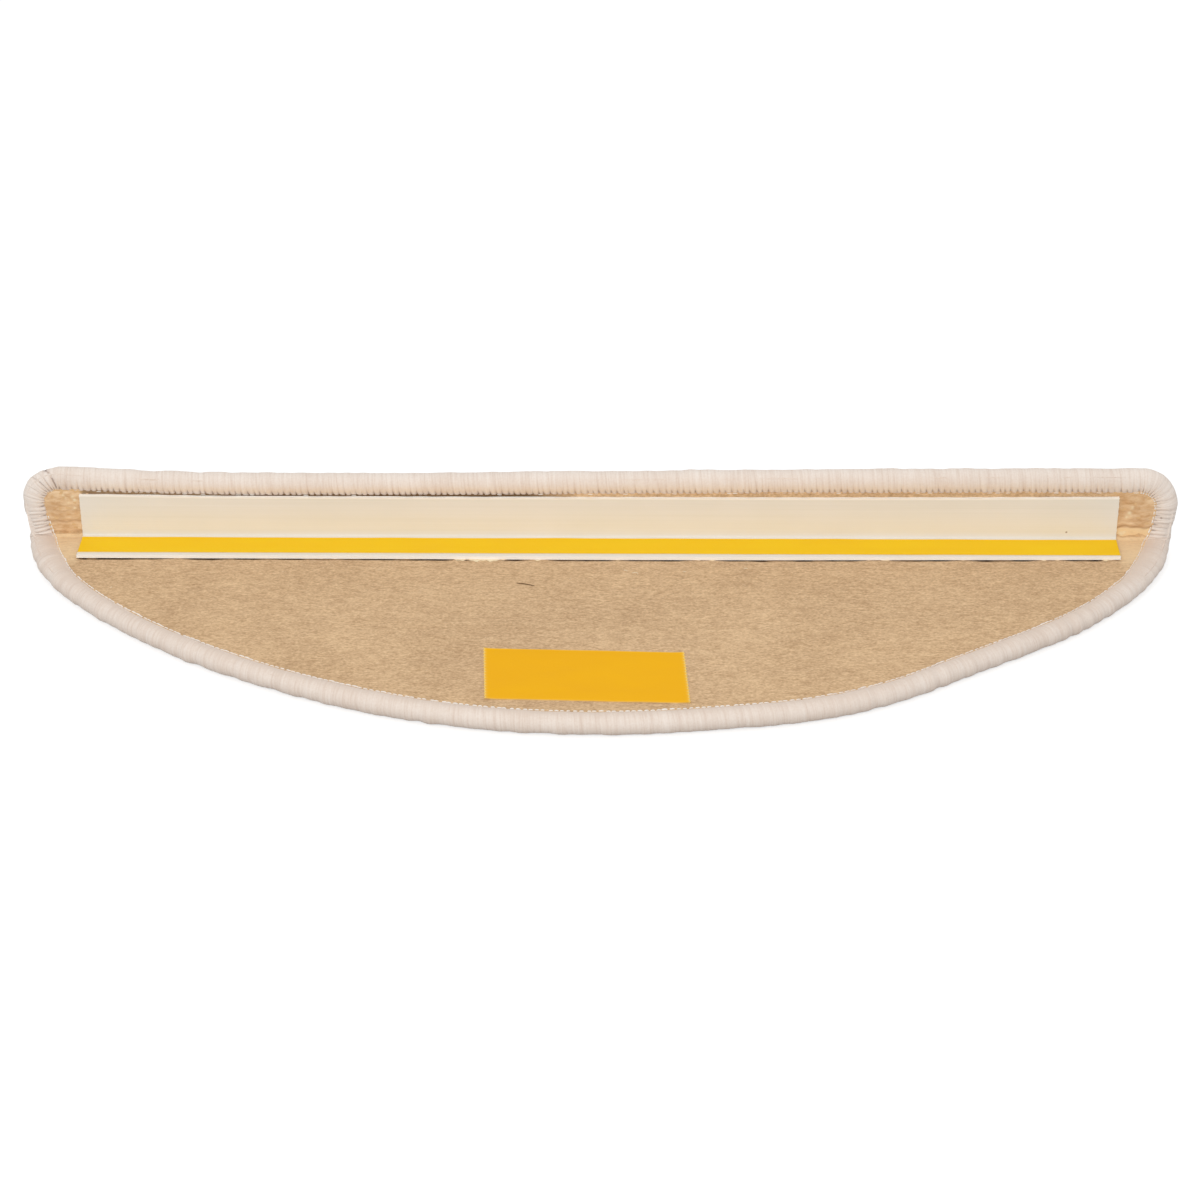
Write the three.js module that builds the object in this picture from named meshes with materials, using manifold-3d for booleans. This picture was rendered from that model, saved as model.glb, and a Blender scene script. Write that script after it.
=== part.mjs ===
// Half-round stair tread mat, lying on its walking face with its felt back up and its nose flap standing.
// Millimetres. +X runs along the nose, +Y goes from the round edge to the nose, +Z is up.
//
// Everything is drawn round the inner corner of the nosing angle, and the whole mat is then moved so that the
// origin is the middle of its box, on the surface it lies on.
//
// A place on the mat is given by x, by the run along the mat from the middle of the fold (negative on the tread,
// positive on the flap) and by the depth below the felt's open face.

import * as THREE from "three";
import { mergeVertices } from "three/addons/utils/BufferGeometryUtils.js";
import { ParametricGeometry } from "three/addons/geometries/ParametricGeometry.js";
import Module from "manifold-3d";

const wasm = await Module();
wasm.setup();

// Nosing angle and the glue under it
const LEG = 24.4; // each leg, from the inner corner
const LEG_WALL = 1.5;
const GLUE = 0.3;
const GLUE_PAST_LEG = 0.8; // glue pressed out in front of the lower leg
const GLUE_BELOW_TOP = 1; // glue ends short of the upper leg's edge
const GLUE_TO_BINDING = 4; // from the ends of the glue on the flap to the binding's inner line

// Mat
const WIDTH = 651;
const TREAD = 191.7; // from the inner corner of the angle to the round edge
const SIDE_RADIUS = 127.8; // of the bends that lead from the long round edge up to the fold
const CORNER_RADIUS = 22; // the flap's two corners
const FOLD_RADIUS = 2; // of the felt's open face in the fold
const FELT = 2.5;
const TOP_DROP = 2.8; // how far the flap's hand-cut top edge dips between its corners
const TOP_SKEW = 1.55; // moves that dip to the left
const CUT_STRAYS = [
  // where the hand-cut round edge strays: middle along x, reach to each side, and how far inwards
  { x: -185, reach: 150, inwards: 2.6 },
  { x: 128, reach: 75, inwards: -3.4 },
  { x: 215, reach: 62, inwards: 3 },
];

// Edge binding
const ROLL = 11.68; // thickness of the whipped roll
const PROUD = 1.44; // how far it stands above the felt
const BITE = 10; // how far it reaches in over the felt on the round edge, where it is narrowest
const WIDER_AT_DIP = 0.8; // and how much further in the middle of the top edge's dip
const WIDER_AT_TOP = 2.4; // and at the ends of the top edge
const WIDER_AT_SIDES = [
  // and round the fold's ends: run, and how much further on the left and on the right side
  [-77, 0, 0],
  [-54, 1.3, 1.3],
  [-36, 3.6, 3.4],
  [-9, 4.3, 4],
  [8, 4.8, 3.4],
  [22, 3.4, 2.6],
];
const PILE_BITE_RISE = 0.8; // its inner line lies this much above the walking face
const RIDGE_PITCH = 6.8; // two turns of yarn lie in each ridge
const RIDGE_DEPTH = 0.45;
const TURN_SLANT = 1.7; // how far a turn runs along the edge while it crosses the roll
const EDGE_WALL = 2.6; // yarn outside the mat's cut edge
const PRESSED_PILE = 3.9; // pile squeezed under the binding
const BINDING_SPACE = 0.6; // between the binding and the cut edges in it
const BINDING_LIFT = 0.15; // between the binding's underside and the felt
const LEG_SPACE = 0.9; // between the upper leg and the binding over it
const END_SPACE = 18.9; // between the angle's ends and the binding

// Narrow tape on the lower leg
const STRIP_WIDTH = 17;
const STRIP_FROM_CORNER = 3;
const TAPE_THICKNESS = 0.3;
const LINER_THICKNESS = 0.15;

// Wide tape near the round edge
const PAD_LENGTH = 106.4;
const PAD_WIDTH = 50;
const PAD_OFFSET = -4.4; // its middle, left of the mat's middle
const PAD_FROM_BINDING = 10.1; // from the binding to the nearer long edge, at the tape's middle
const PAD_TURN = THREE.MathUtils.degToRad(-1.95);
const PAD_END_SKEW = THREE.MathUtils.degToRad(-5.2); // the cutter met the tape at a slant
const TOOTH_PITCH = 2.78;
const TOOTH_DEPTH = 0.7;

// Fineness of the round stretches
const OUTLINE_STEPS = 200;
const TOP_STEPS = 12;
const FOLD_STEPS = 8;
const MATCH = 1e-4; // vertices nearer than this are one

// Worked out from the sizes above
const FELT_FACE = LEG_WALL + GLUE; // from the inner corner to the felt, down and back
const FOLD_CENTRE = FELT_FACE - FOLD_RADIUS; // y of the fold's centre line; its z is the negative of this
const ROLL_DEPTH = ROLL / 2 - PROUD; // of the roll's middle, below the felt's face
const MAT = ROLL - PROUD; // felt and pile together: the pile is flush with the roll
const MID_RADIUS = FOLD_RADIUS + ROLL_DEPTH;
const FOLD_RUN = (MID_RADIUS * Math.PI) / 2;
const RUN_TO_FLAT = FOLD_RUN / 2 + FOLD_CENTRE; // run minus this is z on the flap; y on the tread is run plus this
const DEEPEST = (1 - Math.hypot(1, TOP_SKEW)) / TOP_SKEW; // place of the lowest point along the top, -1 to 1
const FLAP_TOP = LEG + LEG_SPACE + BITE + WIDER_AT_DIP + topDrop(DEEPEST);
const FRONT_RUN = -(TREAD + RUN_TO_FLAT);
const TOP_RUN = FLAP_TOP + RUN_TO_FLAT;
const WIDEST_BITE = BITE + Math.max(...WIDER_AT_SIDES.map((knot) => Math.max(knot[1], knot[2])));
const ANGLE_LENGTH = WIDTH - 2 * (WIDEST_BITE + END_SPACE);
const FAR = WIDTH; // beyond the mat on every side

const RIGHT_ANGLE = Math.PI / 2;

const MATERIALS = {
  felt: { color: 0xceac86, roughness: 0.95, metalness: 0 },
  pile: { color: 0xd6c3ab, roughness: 0.95, metalness: 0 },
  yarn: { color: 0xeadacc, roughness: 0.8, metalness: 0 },
  glue: { color: 0xcfa468, roughness: 0.3, metalness: 0 },
  plastic: { color: 0xece3d3, roughness: 0.4, metalness: 0 },
  tape: { color: 0xf4e3b0, roughness: 0.6, metalness: 0 },
  liner: { color: 0xf3bd28, roughness: 0.45, metalness: 0 },
};

// Solids from meshes, and back

function solid(geometry) {
  const bare = geometry.clone();
  bare.deleteAttribute("normal");
  bare.deleteAttribute("uv");
  const merged = mergeVertices(bare, MATCH);
  const vertProperties = new Float32Array(merged.attributes.position.array);
  const triVerts = new Uint32Array(merged.index.array);
  return new wasm.Manifold(new wasm.Mesh({ numProp: 3, vertProperties, triVerts }));
}

function geometryOf(body) {
  const { vertProperties, triVerts } = body.getMesh();
  const geometry = new THREE.BufferGeometry();
  geometry.setAttribute("position", new THREE.BufferAttribute(vertProperties, 3));
  geometry.setIndex(new THREE.BufferAttribute(triVerts, 1));
  geometry.computeVertexNormals();
  return geometry;
}

function mesh(name, geometry, finish) {
  const part = new THREE.Mesh(geometry, new THREE.MeshStandardMaterial(MATERIALS[finish]));
  part.name = name;
  return part;
}

function box(low, high) {
  const size = new THREE.Vector3().subVectors(high, low);
  const geometry = new THREE.BoxGeometry(size.x, size.y, size.z);
  const middle = new THREE.Vector3().addVectors(low, high).divideScalar(2);
  return geometry.translate(middle.x, middle.y, middle.z);
}

// Outline of the unfolded mat

function topDrop(share) {
  // share runs from -1 at the left corner to 1 at the right one
  return TOP_DROP * (1 - share * share) * Math.exp(-TOP_SKEW * share);
}

function topEdge(halfTop) {
  const points = [];
  for (let i = 1; i <= TOP_STEPS; i += 1) {
    const share = 1 - (2 * i) / TOP_STEPS;
    points.push(new THREE.Vector2(share * halfTop, TOP_RUN - topDrop(share)));
  }
  return points;
}

function unfoldedOutline() {
  // one path against the clock: long round edge, side, corner, top edge, corner, side
  const half = WIDTH / 2;
  const sideCentre = TOP_RUN - CORNER_RADIUS;
  const sideX = half - SIDE_RADIUS;
  const length = sideCentre - FRONT_RUN;
  // the long round edge goes through its middle point and touches both side bends from outside
  const frontRadius = (sideX ** 2 + length ** 2 - SIDE_RADIUS ** 2) / (2 * (length - SIDE_RADIUS));
  const frontCentre = FRONT_RUN + frontRadius;
  const reach = Math.atan2(sideX, frontCentre - sideCentre); // half the angle of the long round edge
  const cornerX = half - CORNER_RADIUS;
  const path = new THREE.Path();
  path.absarc(0, frontCentre, frontRadius, -RIGHT_ANGLE - reach, -RIGHT_ANGLE + reach, false);
  path.absarc(sideX, sideCentre, SIDE_RADIUS, -RIGHT_ANGLE + reach, 0, false);
  path.absarc(cornerX, sideCentre, CORNER_RADIUS, 0, RIGHT_ANGLE, false);
  path.splineThru(topEdge(cornerX));
  path.absarc(-cornerX, sideCentre, CORNER_RADIUS, RIGHT_ANGLE, 2 * RIGHT_ANGLE, false);
  path.absarc(-sideX, sideCentre, SIDE_RADIUS, 2 * RIGHT_ANGLE, 3 * RIGHT_ANGLE - reach, false);
  return path;
}

const OUTLINE = unfoldedOutline();
const PERIMETER = OUTLINE.getLength();

function straying(place) {
  // how far the cut lies inside the drawn outline here
  let inwards = 0;
  for (const stray of CUT_STRAYS) {
    const away = Math.abs(place.x - stray.x) / stray.reach;
    if (place.y < 0 && away < 1) {
      inwards += stray.inwards * Math.cos(away * RIGHT_ANGLE) ** 2;
    }
  }
  return inwards;
}

function widening(place) {
  // how much further the binding reaches in here
  if (Math.abs(place.x) < WIDTH / 2 - CORNER_RADIUS && place.y > 0) {
    return THREE.MathUtils.lerp(WIDER_AT_TOP, WIDER_AT_DIP, (TOP_RUN - place.y) / topDrop(DEEPEST));
  }
  const side = place.x < 0 ? 1 : 2;
  const knots = [...WIDER_AT_SIDES, [TOP_RUN, WIDER_AT_TOP, WIDER_AT_TOP]];
  const after = knots.findIndex((knot) => knot[0] >= place.y);
  if (after === 0) {
    return 0;
  }
  const [before, next] = after < 0 ? knots.slice(-2) : knots.slice(after - 1, after + 1);
  const part = Math.min((place.y - before[0]) / (next[0] - before[0]), 1);
  return THREE.MathUtils.lerp(before[side], next[side], part);
}

function outlineAt(share, inset, wider = 0) {
  // a point inset from the cut edge, share being the part of the way round, and wider the part of the
  // binding's widening that moves it further in
  const small = 0.2 / PERIMETER;
  const before = OUTLINE.getPoint((share - small + 1) % 1);
  const after = OUTLINE.getPoint((share + small) % 1);
  const along = after.sub(before).normalize();
  const point = OUTLINE.getPoint(share % 1);
  const inwards = inset + straying(point) + wider * widening(point);
  return new THREE.Vector2(point.x - along.y * inwards, point.y + along.x * inwards);
}

function insetOutline(inset, wider) {
  const points = [];
  for (let i = 0; i < OUTLINE_STEPS; i += 1) {
    points.push(outlineAt(i / OUTLINE_STEPS, inset, wider));
  }
  return points;
}

// Folding: from run and depth to y and z

function folded(x, run, depth, target) {
  if (run < -FOLD_RUN / 2) {
    return target.set(x, run + RUN_TO_FLAT, -(FELT_FACE + depth));
  }
  if (run > FOLD_RUN / 2) {
    return target.set(x, FELT_FACE + depth, run - RUN_TO_FLAT);
  }
  const turn = (run + FOLD_RUN / 2) / MID_RADIUS;
  const radius = FOLD_RADIUS + depth;
  return target.set(x, FOLD_CENTRE + radius * Math.sin(turn), -FOLD_CENTRE - radius * Math.cos(turn));
}

function foldSection(from, to, treadEnd, flapEnd) {
  // the L of one layer between two depths: sideways is y and up is z
  const inner = FOLD_RADIUS + from;
  const outer = FOLD_RADIUS + to;
  const shape = new THREE.Shape();
  shape.moveTo(-treadEnd, -FELT_FACE - from);
  shape.absarc(FOLD_CENTRE, -FOLD_CENTRE, inner, -RIGHT_ANGLE, 0, false);
  if (flapEnd > -FOLD_CENTRE) {
    shape.lineTo(FELT_FACE + from, flapEnd);
    shape.lineTo(FELT_FACE + to, flapEnd);
  }
  shape.absarc(FOLD_CENTRE, -FOLD_CENTRE, outer, 0, -RIGHT_ANGLE, true);
  shape.lineTo(-treadEnd, -FELT_FACE - to);
  return shape;
}

function flapSection(from, to, low, high) {
  // the upright strip of one layer between two heights
  const shape = new THREE.Shape();
  shape.moveTo(FELT_FACE + from, low);
  shape.lineTo(FELT_FACE + to, low);
  shape.lineTo(FELT_FACE + to, high);
  shape.lineTo(FELT_FACE + from, high);
  return shape;
}

function alongX(shape, length) {
  // ExtrudeGeometry halves a quarter arc's steps for itself, so it is given half of FOLD_STEPS
  const geometry = new THREE.ExtrudeGeometry(shape, {
    depth: length,
    bevelEnabled: false,
    curveSegments: FOLD_STEPS / 2,
  });
  const turn = new THREE.Matrix4().makeBasis(
    new THREE.Vector3(0, 1, 0),
    new THREE.Vector3(0, 0, 1),
    new THREE.Vector3(1, 0, 0),
  );
  return geometry.applyMatrix4(turn).translate(-length / 2, 0, 0);
}

// Layers of the carpet

function treadTrim(outline) {
  // stands on the tread's outline and reaches up to the height where the fold ends
  const shape = new THREE.Shape(outline.map((p) => new THREE.Vector2(p.x, p.y + RUN_TO_FLAT)));
  const geometry = new THREE.ExtrudeGeometry(shape, { depth: FAR, bevelEnabled: false });
  return geometry.translate(0, 0, -FAR / 2);
}

function flapTrim(outline) {
  // the same outline standing up, running through the flap's thickness
  const shape = new THREE.Shape(outline.map((p) => new THREE.Vector2(p.x, p.y - RUN_TO_FLAT)));
  const geometry = new THREE.ExtrudeGeometry(shape, { depth: FAR, bevelEnabled: false });
  return geometry.rotateX(RIGHT_ANGLE).translate(0, FAR / 2, 0);
}

function matLayer(from, to, inset, wider = 0) {
  const outline = insetOutline(inset, wider);
  const lower = solid(alongX(foldSection(from, to, FAR, -FOLD_CENTRE), 2 * FAR));
  const upper = solid(alongX(flapSection(from, to, -FOLD_CENTRE, FAR), 2 * FAR));
  const tread = lower.intersect(solid(treadTrim(outline)));
  const flap = upper.intersect(solid(flapTrim(outline)));
  return tread.add(flap);
}

const CUT_EDGE = EDGE_WALL + BINDING_SPACE;

function backingFelt() {
  return geometryOf(matLayer(0, FELT, CUT_EDGE));
}

function pileCarpet() {
  // full height inside the binding, and a pressed lip that the binding grips
  const full = matLayer(FELT, MAT, BITE + BINDING_SPACE, 1);
  const lip = matLayer(FELT, FELT + PRESSED_PILE, CUT_EDGE);
  return geometryOf(full.add(lip));
}

// Edge binding

const OCTAGON_HALF = Math.PI / 8; // a roll drawn as an octagon whose flats touch the true round
const ROLL_CORNERS = [3, 5, 7, 9, 11]; // its corners, in half steps from the side that faces inwards

function bindingSection(ridge) {
  // pairs of inset and depth, from the inner line on the felt, over the roll, to the inner line on the pile;
  // ridge is 1 on top of a ridge and 0 between two
  const corner = (ROLL / 2 - RIDGE_DEPTH * (1 - ridge)) / Math.cos(OCTAGON_HALF);
  const section = [[BITE, -BINDING_LIFT]];
  for (const step of ROLL_CORNERS) {
    const turn = step * OCTAGON_HALF;
    section.push([ROLL / 2 + corner * Math.cos(turn), ROLL_DEPTH - corner * Math.sin(turn)]);
  }
  section.push([BITE, MAT - PILE_BITE_RISE]);
  section.push([EDGE_WALL, FELT + PRESSED_PILE + BINDING_SPACE]);
  section.push([EDGE_WALL, -BINDING_LIFT]);
  return section;
}

function edgeBinding() {
  // a closed ring of sections, by turns on a ridge and between two
  const ridges = Math.round(PERIMETER / RIDGE_PITCH);
  const rows = 2 * ridges;
  const sections = [bindingSection(0), bindingSection(1)];
  const corners = sections[0].length;
  const yarnCorners = ROLL_CORNERS.length + 1;
  const surface = (u, v, target) => {
    const corner = Math.round(u * corners) % corners;
    const row = Math.round(v * rows) % rows;
    const [inset, depth] = sections[row % 2][corner];
    const across = Math.min(corner / yarnCorners, 1);
    const inside = corner > yarnCorners;
    const slant = (TURN_SLANT * (inside ? 0 : across)) / PERIMETER;
    const place = outlineAt(row / rows + slant, inset, inside ? 0 : inset / BITE);
    folded(place.x, place.y, depth, target);
  };
  return new ParametricGeometry(surface, corners, rows);
}

// Nosing angle, and the glue under it

function nosingAngle() {
  return alongX(foldSection(-FELT_FACE, -GLUE, LEG, LEG), ANGLE_LENGTH);
}

function angleGlue() {
  // under the whole angle, and on the flap it runs on to near the binding at both ends
  const top = LEG - GLUE_BELOW_TOP;
  const flapLength = ANGLE_LENGTH + 2 * (END_SPACE - GLUE_TO_BINDING);
  const underAngle = solid(alongX(foldSection(-GLUE, 0, LEG + GLUE_PAST_LEG, top), ANGLE_LENGTH));
  const onFlap = solid(alongX(flapSection(-GLUE, 0, -FOLD_CENTRE, top), flapLength));
  return geometryOf(underAngle.add(onFlap));
}

// Tapes with their release liners

function stripLayer(from, thickness) {
  const back = -STRIP_FROM_CORNER;
  const low = new THREE.Vector3(-ANGLE_LENGTH / 2, back - STRIP_WIDTH, from);
  const high = new THREE.Vector3(ANGLE_LENGTH / 2, back, from + thickness);
  return box(low, high);
}

function padOutline() {
  // against the clock from the lower left corner, with the cutter's teeth on both ends
  const teeth = Math.round(PAD_WIDTH / TOOTH_PITCH);
  const steps = 2 * teeth;
  const points = [];
  for (const side of [1, -1]) {
    for (let i = 0; i <= steps; i += 1) {
      const y = side * PAD_WIDTH * (i / steps - 0.5);
      const tooth = TOOTH_DEPTH * (0.5 - (i % 2));
      points.push(new THREE.Vector2(side * PAD_LENGTH / 2 + y * Math.tan(PAD_END_SKEW) + tooth, y));
    }
  }
  return points;
}

function padLayer(from, thickness) {
  const shape = new THREE.Shape(padOutline());
  const geometry = new THREE.ExtrudeGeometry(shape, { depth: thickness, bevelEnabled: false });
  return geometry.translate(0, 0, from);
}

function tapePad() {
  const pad = new THREE.Group();
  pad.add(mesh("pad_adhesive", padLayer(0, TAPE_THICKNESS), "tape"));
  pad.add(mesh("pad_liner", padLayer(TAPE_THICKNESS, LINER_THICKNESS), "liner"));
  pad.position.set(PAD_OFFSET, -TREAD + BITE + PAD_FROM_BINDING + PAD_WIDTH / 2, -FELT_FACE);
  pad.rotation.z = PAD_TURN;
  return pad;
}

// The mat

function stairTreadMat() {
  const mat = new THREE.Group();
  mat.add(mesh("backing_felt", backingFelt(), "felt"));
  mat.add(mesh("pile_carpet", pileCarpet(), "pile"));
  mat.add(mesh("edge_binding", edgeBinding(), "yarn"));
  mat.add(mesh("nosing_angle", nosingAngle(), "plastic"));
  mat.add(mesh("angle_glue", angleGlue(), "glue"));
  mat.add(mesh("strip_adhesive", stripLayer(0, TAPE_THICKNESS), "tape"));
  mat.add(mesh("strip_liner", stripLayer(TAPE_THICKNESS, LINER_THICKNESS), "liner"));
  mat.add(tapePad());
  const bounds = new THREE.Box3().setFromObject(mat);
  const middle = bounds.getCenter(new THREE.Vector3());
  mat.position.set(-middle.x, -middle.y, -bounds.min.z);
  return mat;
}

const object = new THREE.Group();
object.add(stairTreadMat());

export default object;
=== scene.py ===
"""Half-round stair tread mat, lying on its walking face with its felt back up: its looks, in metres."""

import math

import bpy
import numpy as np
from bpy.props import FloatProperty, FloatVectorProperty, PointerProperty
from mathutils import Matrix, Vector


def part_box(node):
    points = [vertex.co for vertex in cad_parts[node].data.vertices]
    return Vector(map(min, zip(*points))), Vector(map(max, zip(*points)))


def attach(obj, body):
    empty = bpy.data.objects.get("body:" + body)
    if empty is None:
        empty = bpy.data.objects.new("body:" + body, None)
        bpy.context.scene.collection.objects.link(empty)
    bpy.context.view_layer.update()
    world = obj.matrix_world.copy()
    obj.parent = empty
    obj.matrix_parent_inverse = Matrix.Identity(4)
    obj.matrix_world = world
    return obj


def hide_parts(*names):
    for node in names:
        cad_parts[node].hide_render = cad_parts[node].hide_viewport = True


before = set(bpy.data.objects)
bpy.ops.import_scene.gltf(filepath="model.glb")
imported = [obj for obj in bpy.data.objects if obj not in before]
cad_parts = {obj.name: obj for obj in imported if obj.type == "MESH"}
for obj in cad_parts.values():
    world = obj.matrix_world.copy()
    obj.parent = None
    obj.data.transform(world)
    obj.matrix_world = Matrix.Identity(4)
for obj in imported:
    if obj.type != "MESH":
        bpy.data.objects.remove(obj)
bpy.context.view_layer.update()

bl_info = {
    "name": "Half-round stair tread mat",
    "version": (1, 0, 0),
    "blender": (4, 5, 0),
    "location": "3D View > Sidebar > Tread Mat",
    "description": "Dresses the packed model of a half-round stair tread mat",
    "category": "Object",
}

MM = 0.001
QUARTER = math.pi / 2

# Sizes of the mat, as in its solids
LEG_WALL = 1.5 * MM
GLUE = 0.3 * MM
WIDTH = 651 * MM
TREAD = 191.7 * MM
SIDE_RADIUS = 127.8 * MM
CORNER_RADIUS = 22 * MM
FOLD_RADIUS = 2 * MM
FELT = 2.5 * MM
TOP_DROP = 2.8 * MM
TOP_SKEW = 1.55
CUT_STRAYS = ((-185 * MM, 150 * MM, 2.6 * MM), (128 * MM, 75 * MM, -3.4 * MM), (215 * MM, 62 * MM, 3 * MM))
ROLL = 11.68 * MM
PROUD = 1.44 * MM
BITE = 10 * MM
WIDER_AT_DIP = 0.8 * MM
WIDER_AT_TOP = 2.4 * MM
# run, and widening on the left and the right side, in millimetres
WIDER_AT_SIDES = ((-77, 0, 0), (-54, 1.3, 1.3), (-36, 3.6, 3.4), (-9, 4.3, 4), (8, 4.8, 3.4), (22, 3.4, 2.6))
LEG_SPACE = 0.9 * MM
EDGE_WALL = 2.6 * MM
PRESSED_PILE = 3.9 * MM
STRIP_WIDTH = 17 * MM
STRIP_FROM_CORNER = 3 * MM
TAPE = 0.3 * MM
LINER = 0.15 * MM
PAD_LENGTH = 106.4 * MM
PAD_WIDTH = 50 * MM
PAD_OFFSET = -4.4 * MM
PAD_FROM_BINDING = 10.1 * MM
PAD_TURN = math.radians(-1.95)
PAD_END_SKEW = math.radians(-5.2)
TEETH = 18
TOOTH_DEPTH = 0.7 * MM

ANGLE_LOW, ANGLE_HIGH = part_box("nosing_angle")
ANGLE_HALF = (ANGLE_HIGH.x - ANGLE_LOW.x) / 2
LEG = ANGLE_HIGH.y - ANGLE_LOW.y - LEG_WALL
# the inner corner of the angle, from which every place on the mat is measured
CORNER = np.array([(ANGLE_LOW.x + ANGLE_HIGH.x) / 2, ANGLE_HIGH.y - LEG_WALL, ANGLE_LOW.z + LEG_WALL])

FELT_FACE = LEG_WALL + GLUE
FOLD_CENTRE = FELT_FACE - FOLD_RADIUS
ROLL_DEPTH = ROLL / 2 - PROUD
MAT = ROLL - PROUD
MID_RADIUS = FOLD_RADIUS + ROLL_DEPTH
FOLD_RUN = MID_RADIUS * QUARTER
RUN_TO_FLAT = FOLD_RUN / 2 + FOLD_CENTRE
DEEPEST = (1 - math.hypot(1, TOP_SKEW)) / TOP_SKEW

# Sizes of the looks alone
OUTLINE_POINTS = 6000
MERGED = 1e-6  # points nearer than this become one
CUT_INSET = 5.2 * MM  # felt and pile end here, inside the binding
NEAR_FOLD = 6 * MM  # rows lie closer from here upwards
LOOP_PITCH = 3.3 * MM
TURN_STEPS = 7
SKIN_POINTS = 24
SKIN_DEGREES = 51.0, 300.3
INNER_LINE = 0.04  # share of the way over the roll at which its skin meets the felt
TURN_END = 10.15 * MM
STITCH_INSET = 10.4 * MM
PATCH_END = 313.4 * MM  # the glue beyond the angle's ends reaches out to here
FLOOR_REACH = 40.0
LAMP_SIZE = 1.3
LAMP_PLACE = Vector((-0.35, -1.75, 1.4))
FILM_WIDTH = 36.0  # in millimetres, like the lens
CAMERA_AWAY = 1741.6 * MM
CAMERA_RISE = math.radians(30.36)
CAMERA_YAW = math.radians(-0.993)
CAMERA_ROLL = math.radians(-0.30)
CAMERA_TARGET = np.array([0.845, 1.35, -42.4]) * MM

# All tables from here on are in millimetres.
# places along x, how far the lower leg's cut draws back there, and how far the upper leg's edge rises
LEG_BACK = (-290, -100, 0, 90, 170, 250, 290), (0.9, 0.8, 0.5, 0.7, 1.4, 2.0, 2.6)
LEG_RISE = (-290, -270, -253, -225, -195, 100, 200, 240, 290), (0.95, 0.9, 0.65, 0.25, 0, 0.1, 0.4, 0.8, 1.25)
# places along x, and how strong the painted shade above the upper leg is there
GAP_SHADE_ABOVE = (-290, -230, -190, -40, -10), (0.6, 0.65, 0.85, 0.85, 0)
# glue pressed out in front of the lower leg: middle, half width and reach
GLUE_PATCHES = (
    (-62, 12, 3.2), (-78, 5, 2.2), (-33, 8, 2.2), (286, 5.5, 2.4), (-236, 9, 1.6), (-150, 10, 1.5),
    (12, 6, 1.4), (60, 12, 1.7), (104, 7, 1.5), (158, 12, 1.8), (205, 8, 1.5), (252, 9, 1.7),
)
# creases in the soaked flap: side, height above the corner and share of the full depth
FLAP_CREASES = (
    (-1, 8.1, 1.0), (-1, 1.1, 1.1), (-1, 14.8, 0.5), (-1, 17.6, 0.4),
    (1, 6.3, 1.3), (1, 10.5, 0.4), (1, 17.0, 0.35),
)
# pale crumbs in the glue: x, height above the corner, radius and strength
CRUMBS = (
    (298.4, 15.1, 1.1, 1.0), (299.8, 18.6, 0.9, 0.8), (296.9, 12.6, 0.8, 0.8), (294.6, 1.6, 1.7, 1.0),
    (296.3, 2.8, 0.9, 0.8), (-301.2, 24.6, 0.8, 0.7), (-300.0, 22.9, 0.7, 0.6), (-296.0, 23.4, 1.0, 0.9),
    (-294.9, 21.6, 1.0, 0.9), (-295.2, 16.4, 0.8, 0.7), (-298.6, 19.8, 0.7, 0.5),
)
# creases of the roll at the flap's corners: side, degrees, depth, half width and tilt
CORNER_CREASES = (
    (-1, 69.5, 1.2, 0.8, 7.3), (-1, 57, 0.35, 0.5, 6.5), (-1, 45, 0.7, 0.6, 7.0), (-1, 30, 0.35, 0.5, 4.0),
    (-1, 14, 0.3, 0.5, 1.5), (1, 18, 0.25, 0.5, -1.0), (1, 33, 0.25, 0.5, -2.0), (1, 50, 0.25, 0.5, -3.0),
)
# creases of the roll above the fold: side, run and depth
FOLD_CREASES = (
    (-1, 19, 0.35), (-1, 16.5, 0.45), (-1, 14, 0.4), (-1, 11.8, 0.5), (-1, 9.5, 0.55), (-1, 7.2, 0.5),
    (-1, 4.8, 0.55), (-1, 2.2, 0.45), (-1, -0.5, 0.5), (-1, -3.5, 0.35), (1, 22, 0.35), (1, 19.3, 0.4),
    (1, 16.3, 0.5), (1, 12.8, 0.5), (1, 9.8, 0.5), (1, 5, 0.35), (1, 1, 0.3),
)
# dirt on the yarn: a place from the corner and a radius
YARN_SPOTS = (294.9, -49.9, 0.9, 0.9), (271.2, -94.1, 1.2, 0.8), (316.4, 1.2, 12.6, 1.1)
SPECK = 263.7, 0.0, 3.7
# fibres: three places of a bent path from the corner, and a radius
HAIR = (-44.6, -50.2, -1.6), (-39.0, -51.0, -1.3), (-33.8, -53.4, -1.6), 0.24
PALE_FIBRES = (
    ((14.6, -35.4, -1.65), (15.6, -35.6, -1.4), (17.0, -36.6, -1.65), 0.3),
    ((19.2, -38.8, -1.65), (21.2, -37.6, -1.4), (22.8, -38.8, -1.65), 0.3),
    ((22.2, -38.2, -1.65), (23.0, -39.4, -1.4), (22.4, -40.2, -1.65), 0.24),
    ((47.4, -36.6, -1.65), (48.6, -37.4, -1.4), (49.6, -36.8, -1.65), 0.24),
    ((81.4, -33.4, -1.65), (82.6, -32.8, -1.4), (83.8, -33.3, -1.65), 0.26),
    ((-15.6, -45.4, -1.65), (-14.8, -45.8, -1.45), (-14.0, -45.3, -1.65), 0.2),
    ((-267.8, -57.4, -1.65), (-267.2, -56.6, -1.4), (-266.9, -55.6, -1.65), 0.3),
)


def top_drop(share):
    """Depth of the dip in the flap's top edge: a parabola from corner to corner times a falling
    exponential."""
    return TOP_DROP * (1 - share * share) * np.exp(-TOP_SKEW * share)


TOP_RUN = LEG + LEG_SPACE + BITE + WIDER_AT_DIP + float(top_drop(DEEPEST)) + RUN_TO_FLAT
FRONT_RUN = -(TREAD + RUN_TO_FLAT)


# Curves


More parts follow.
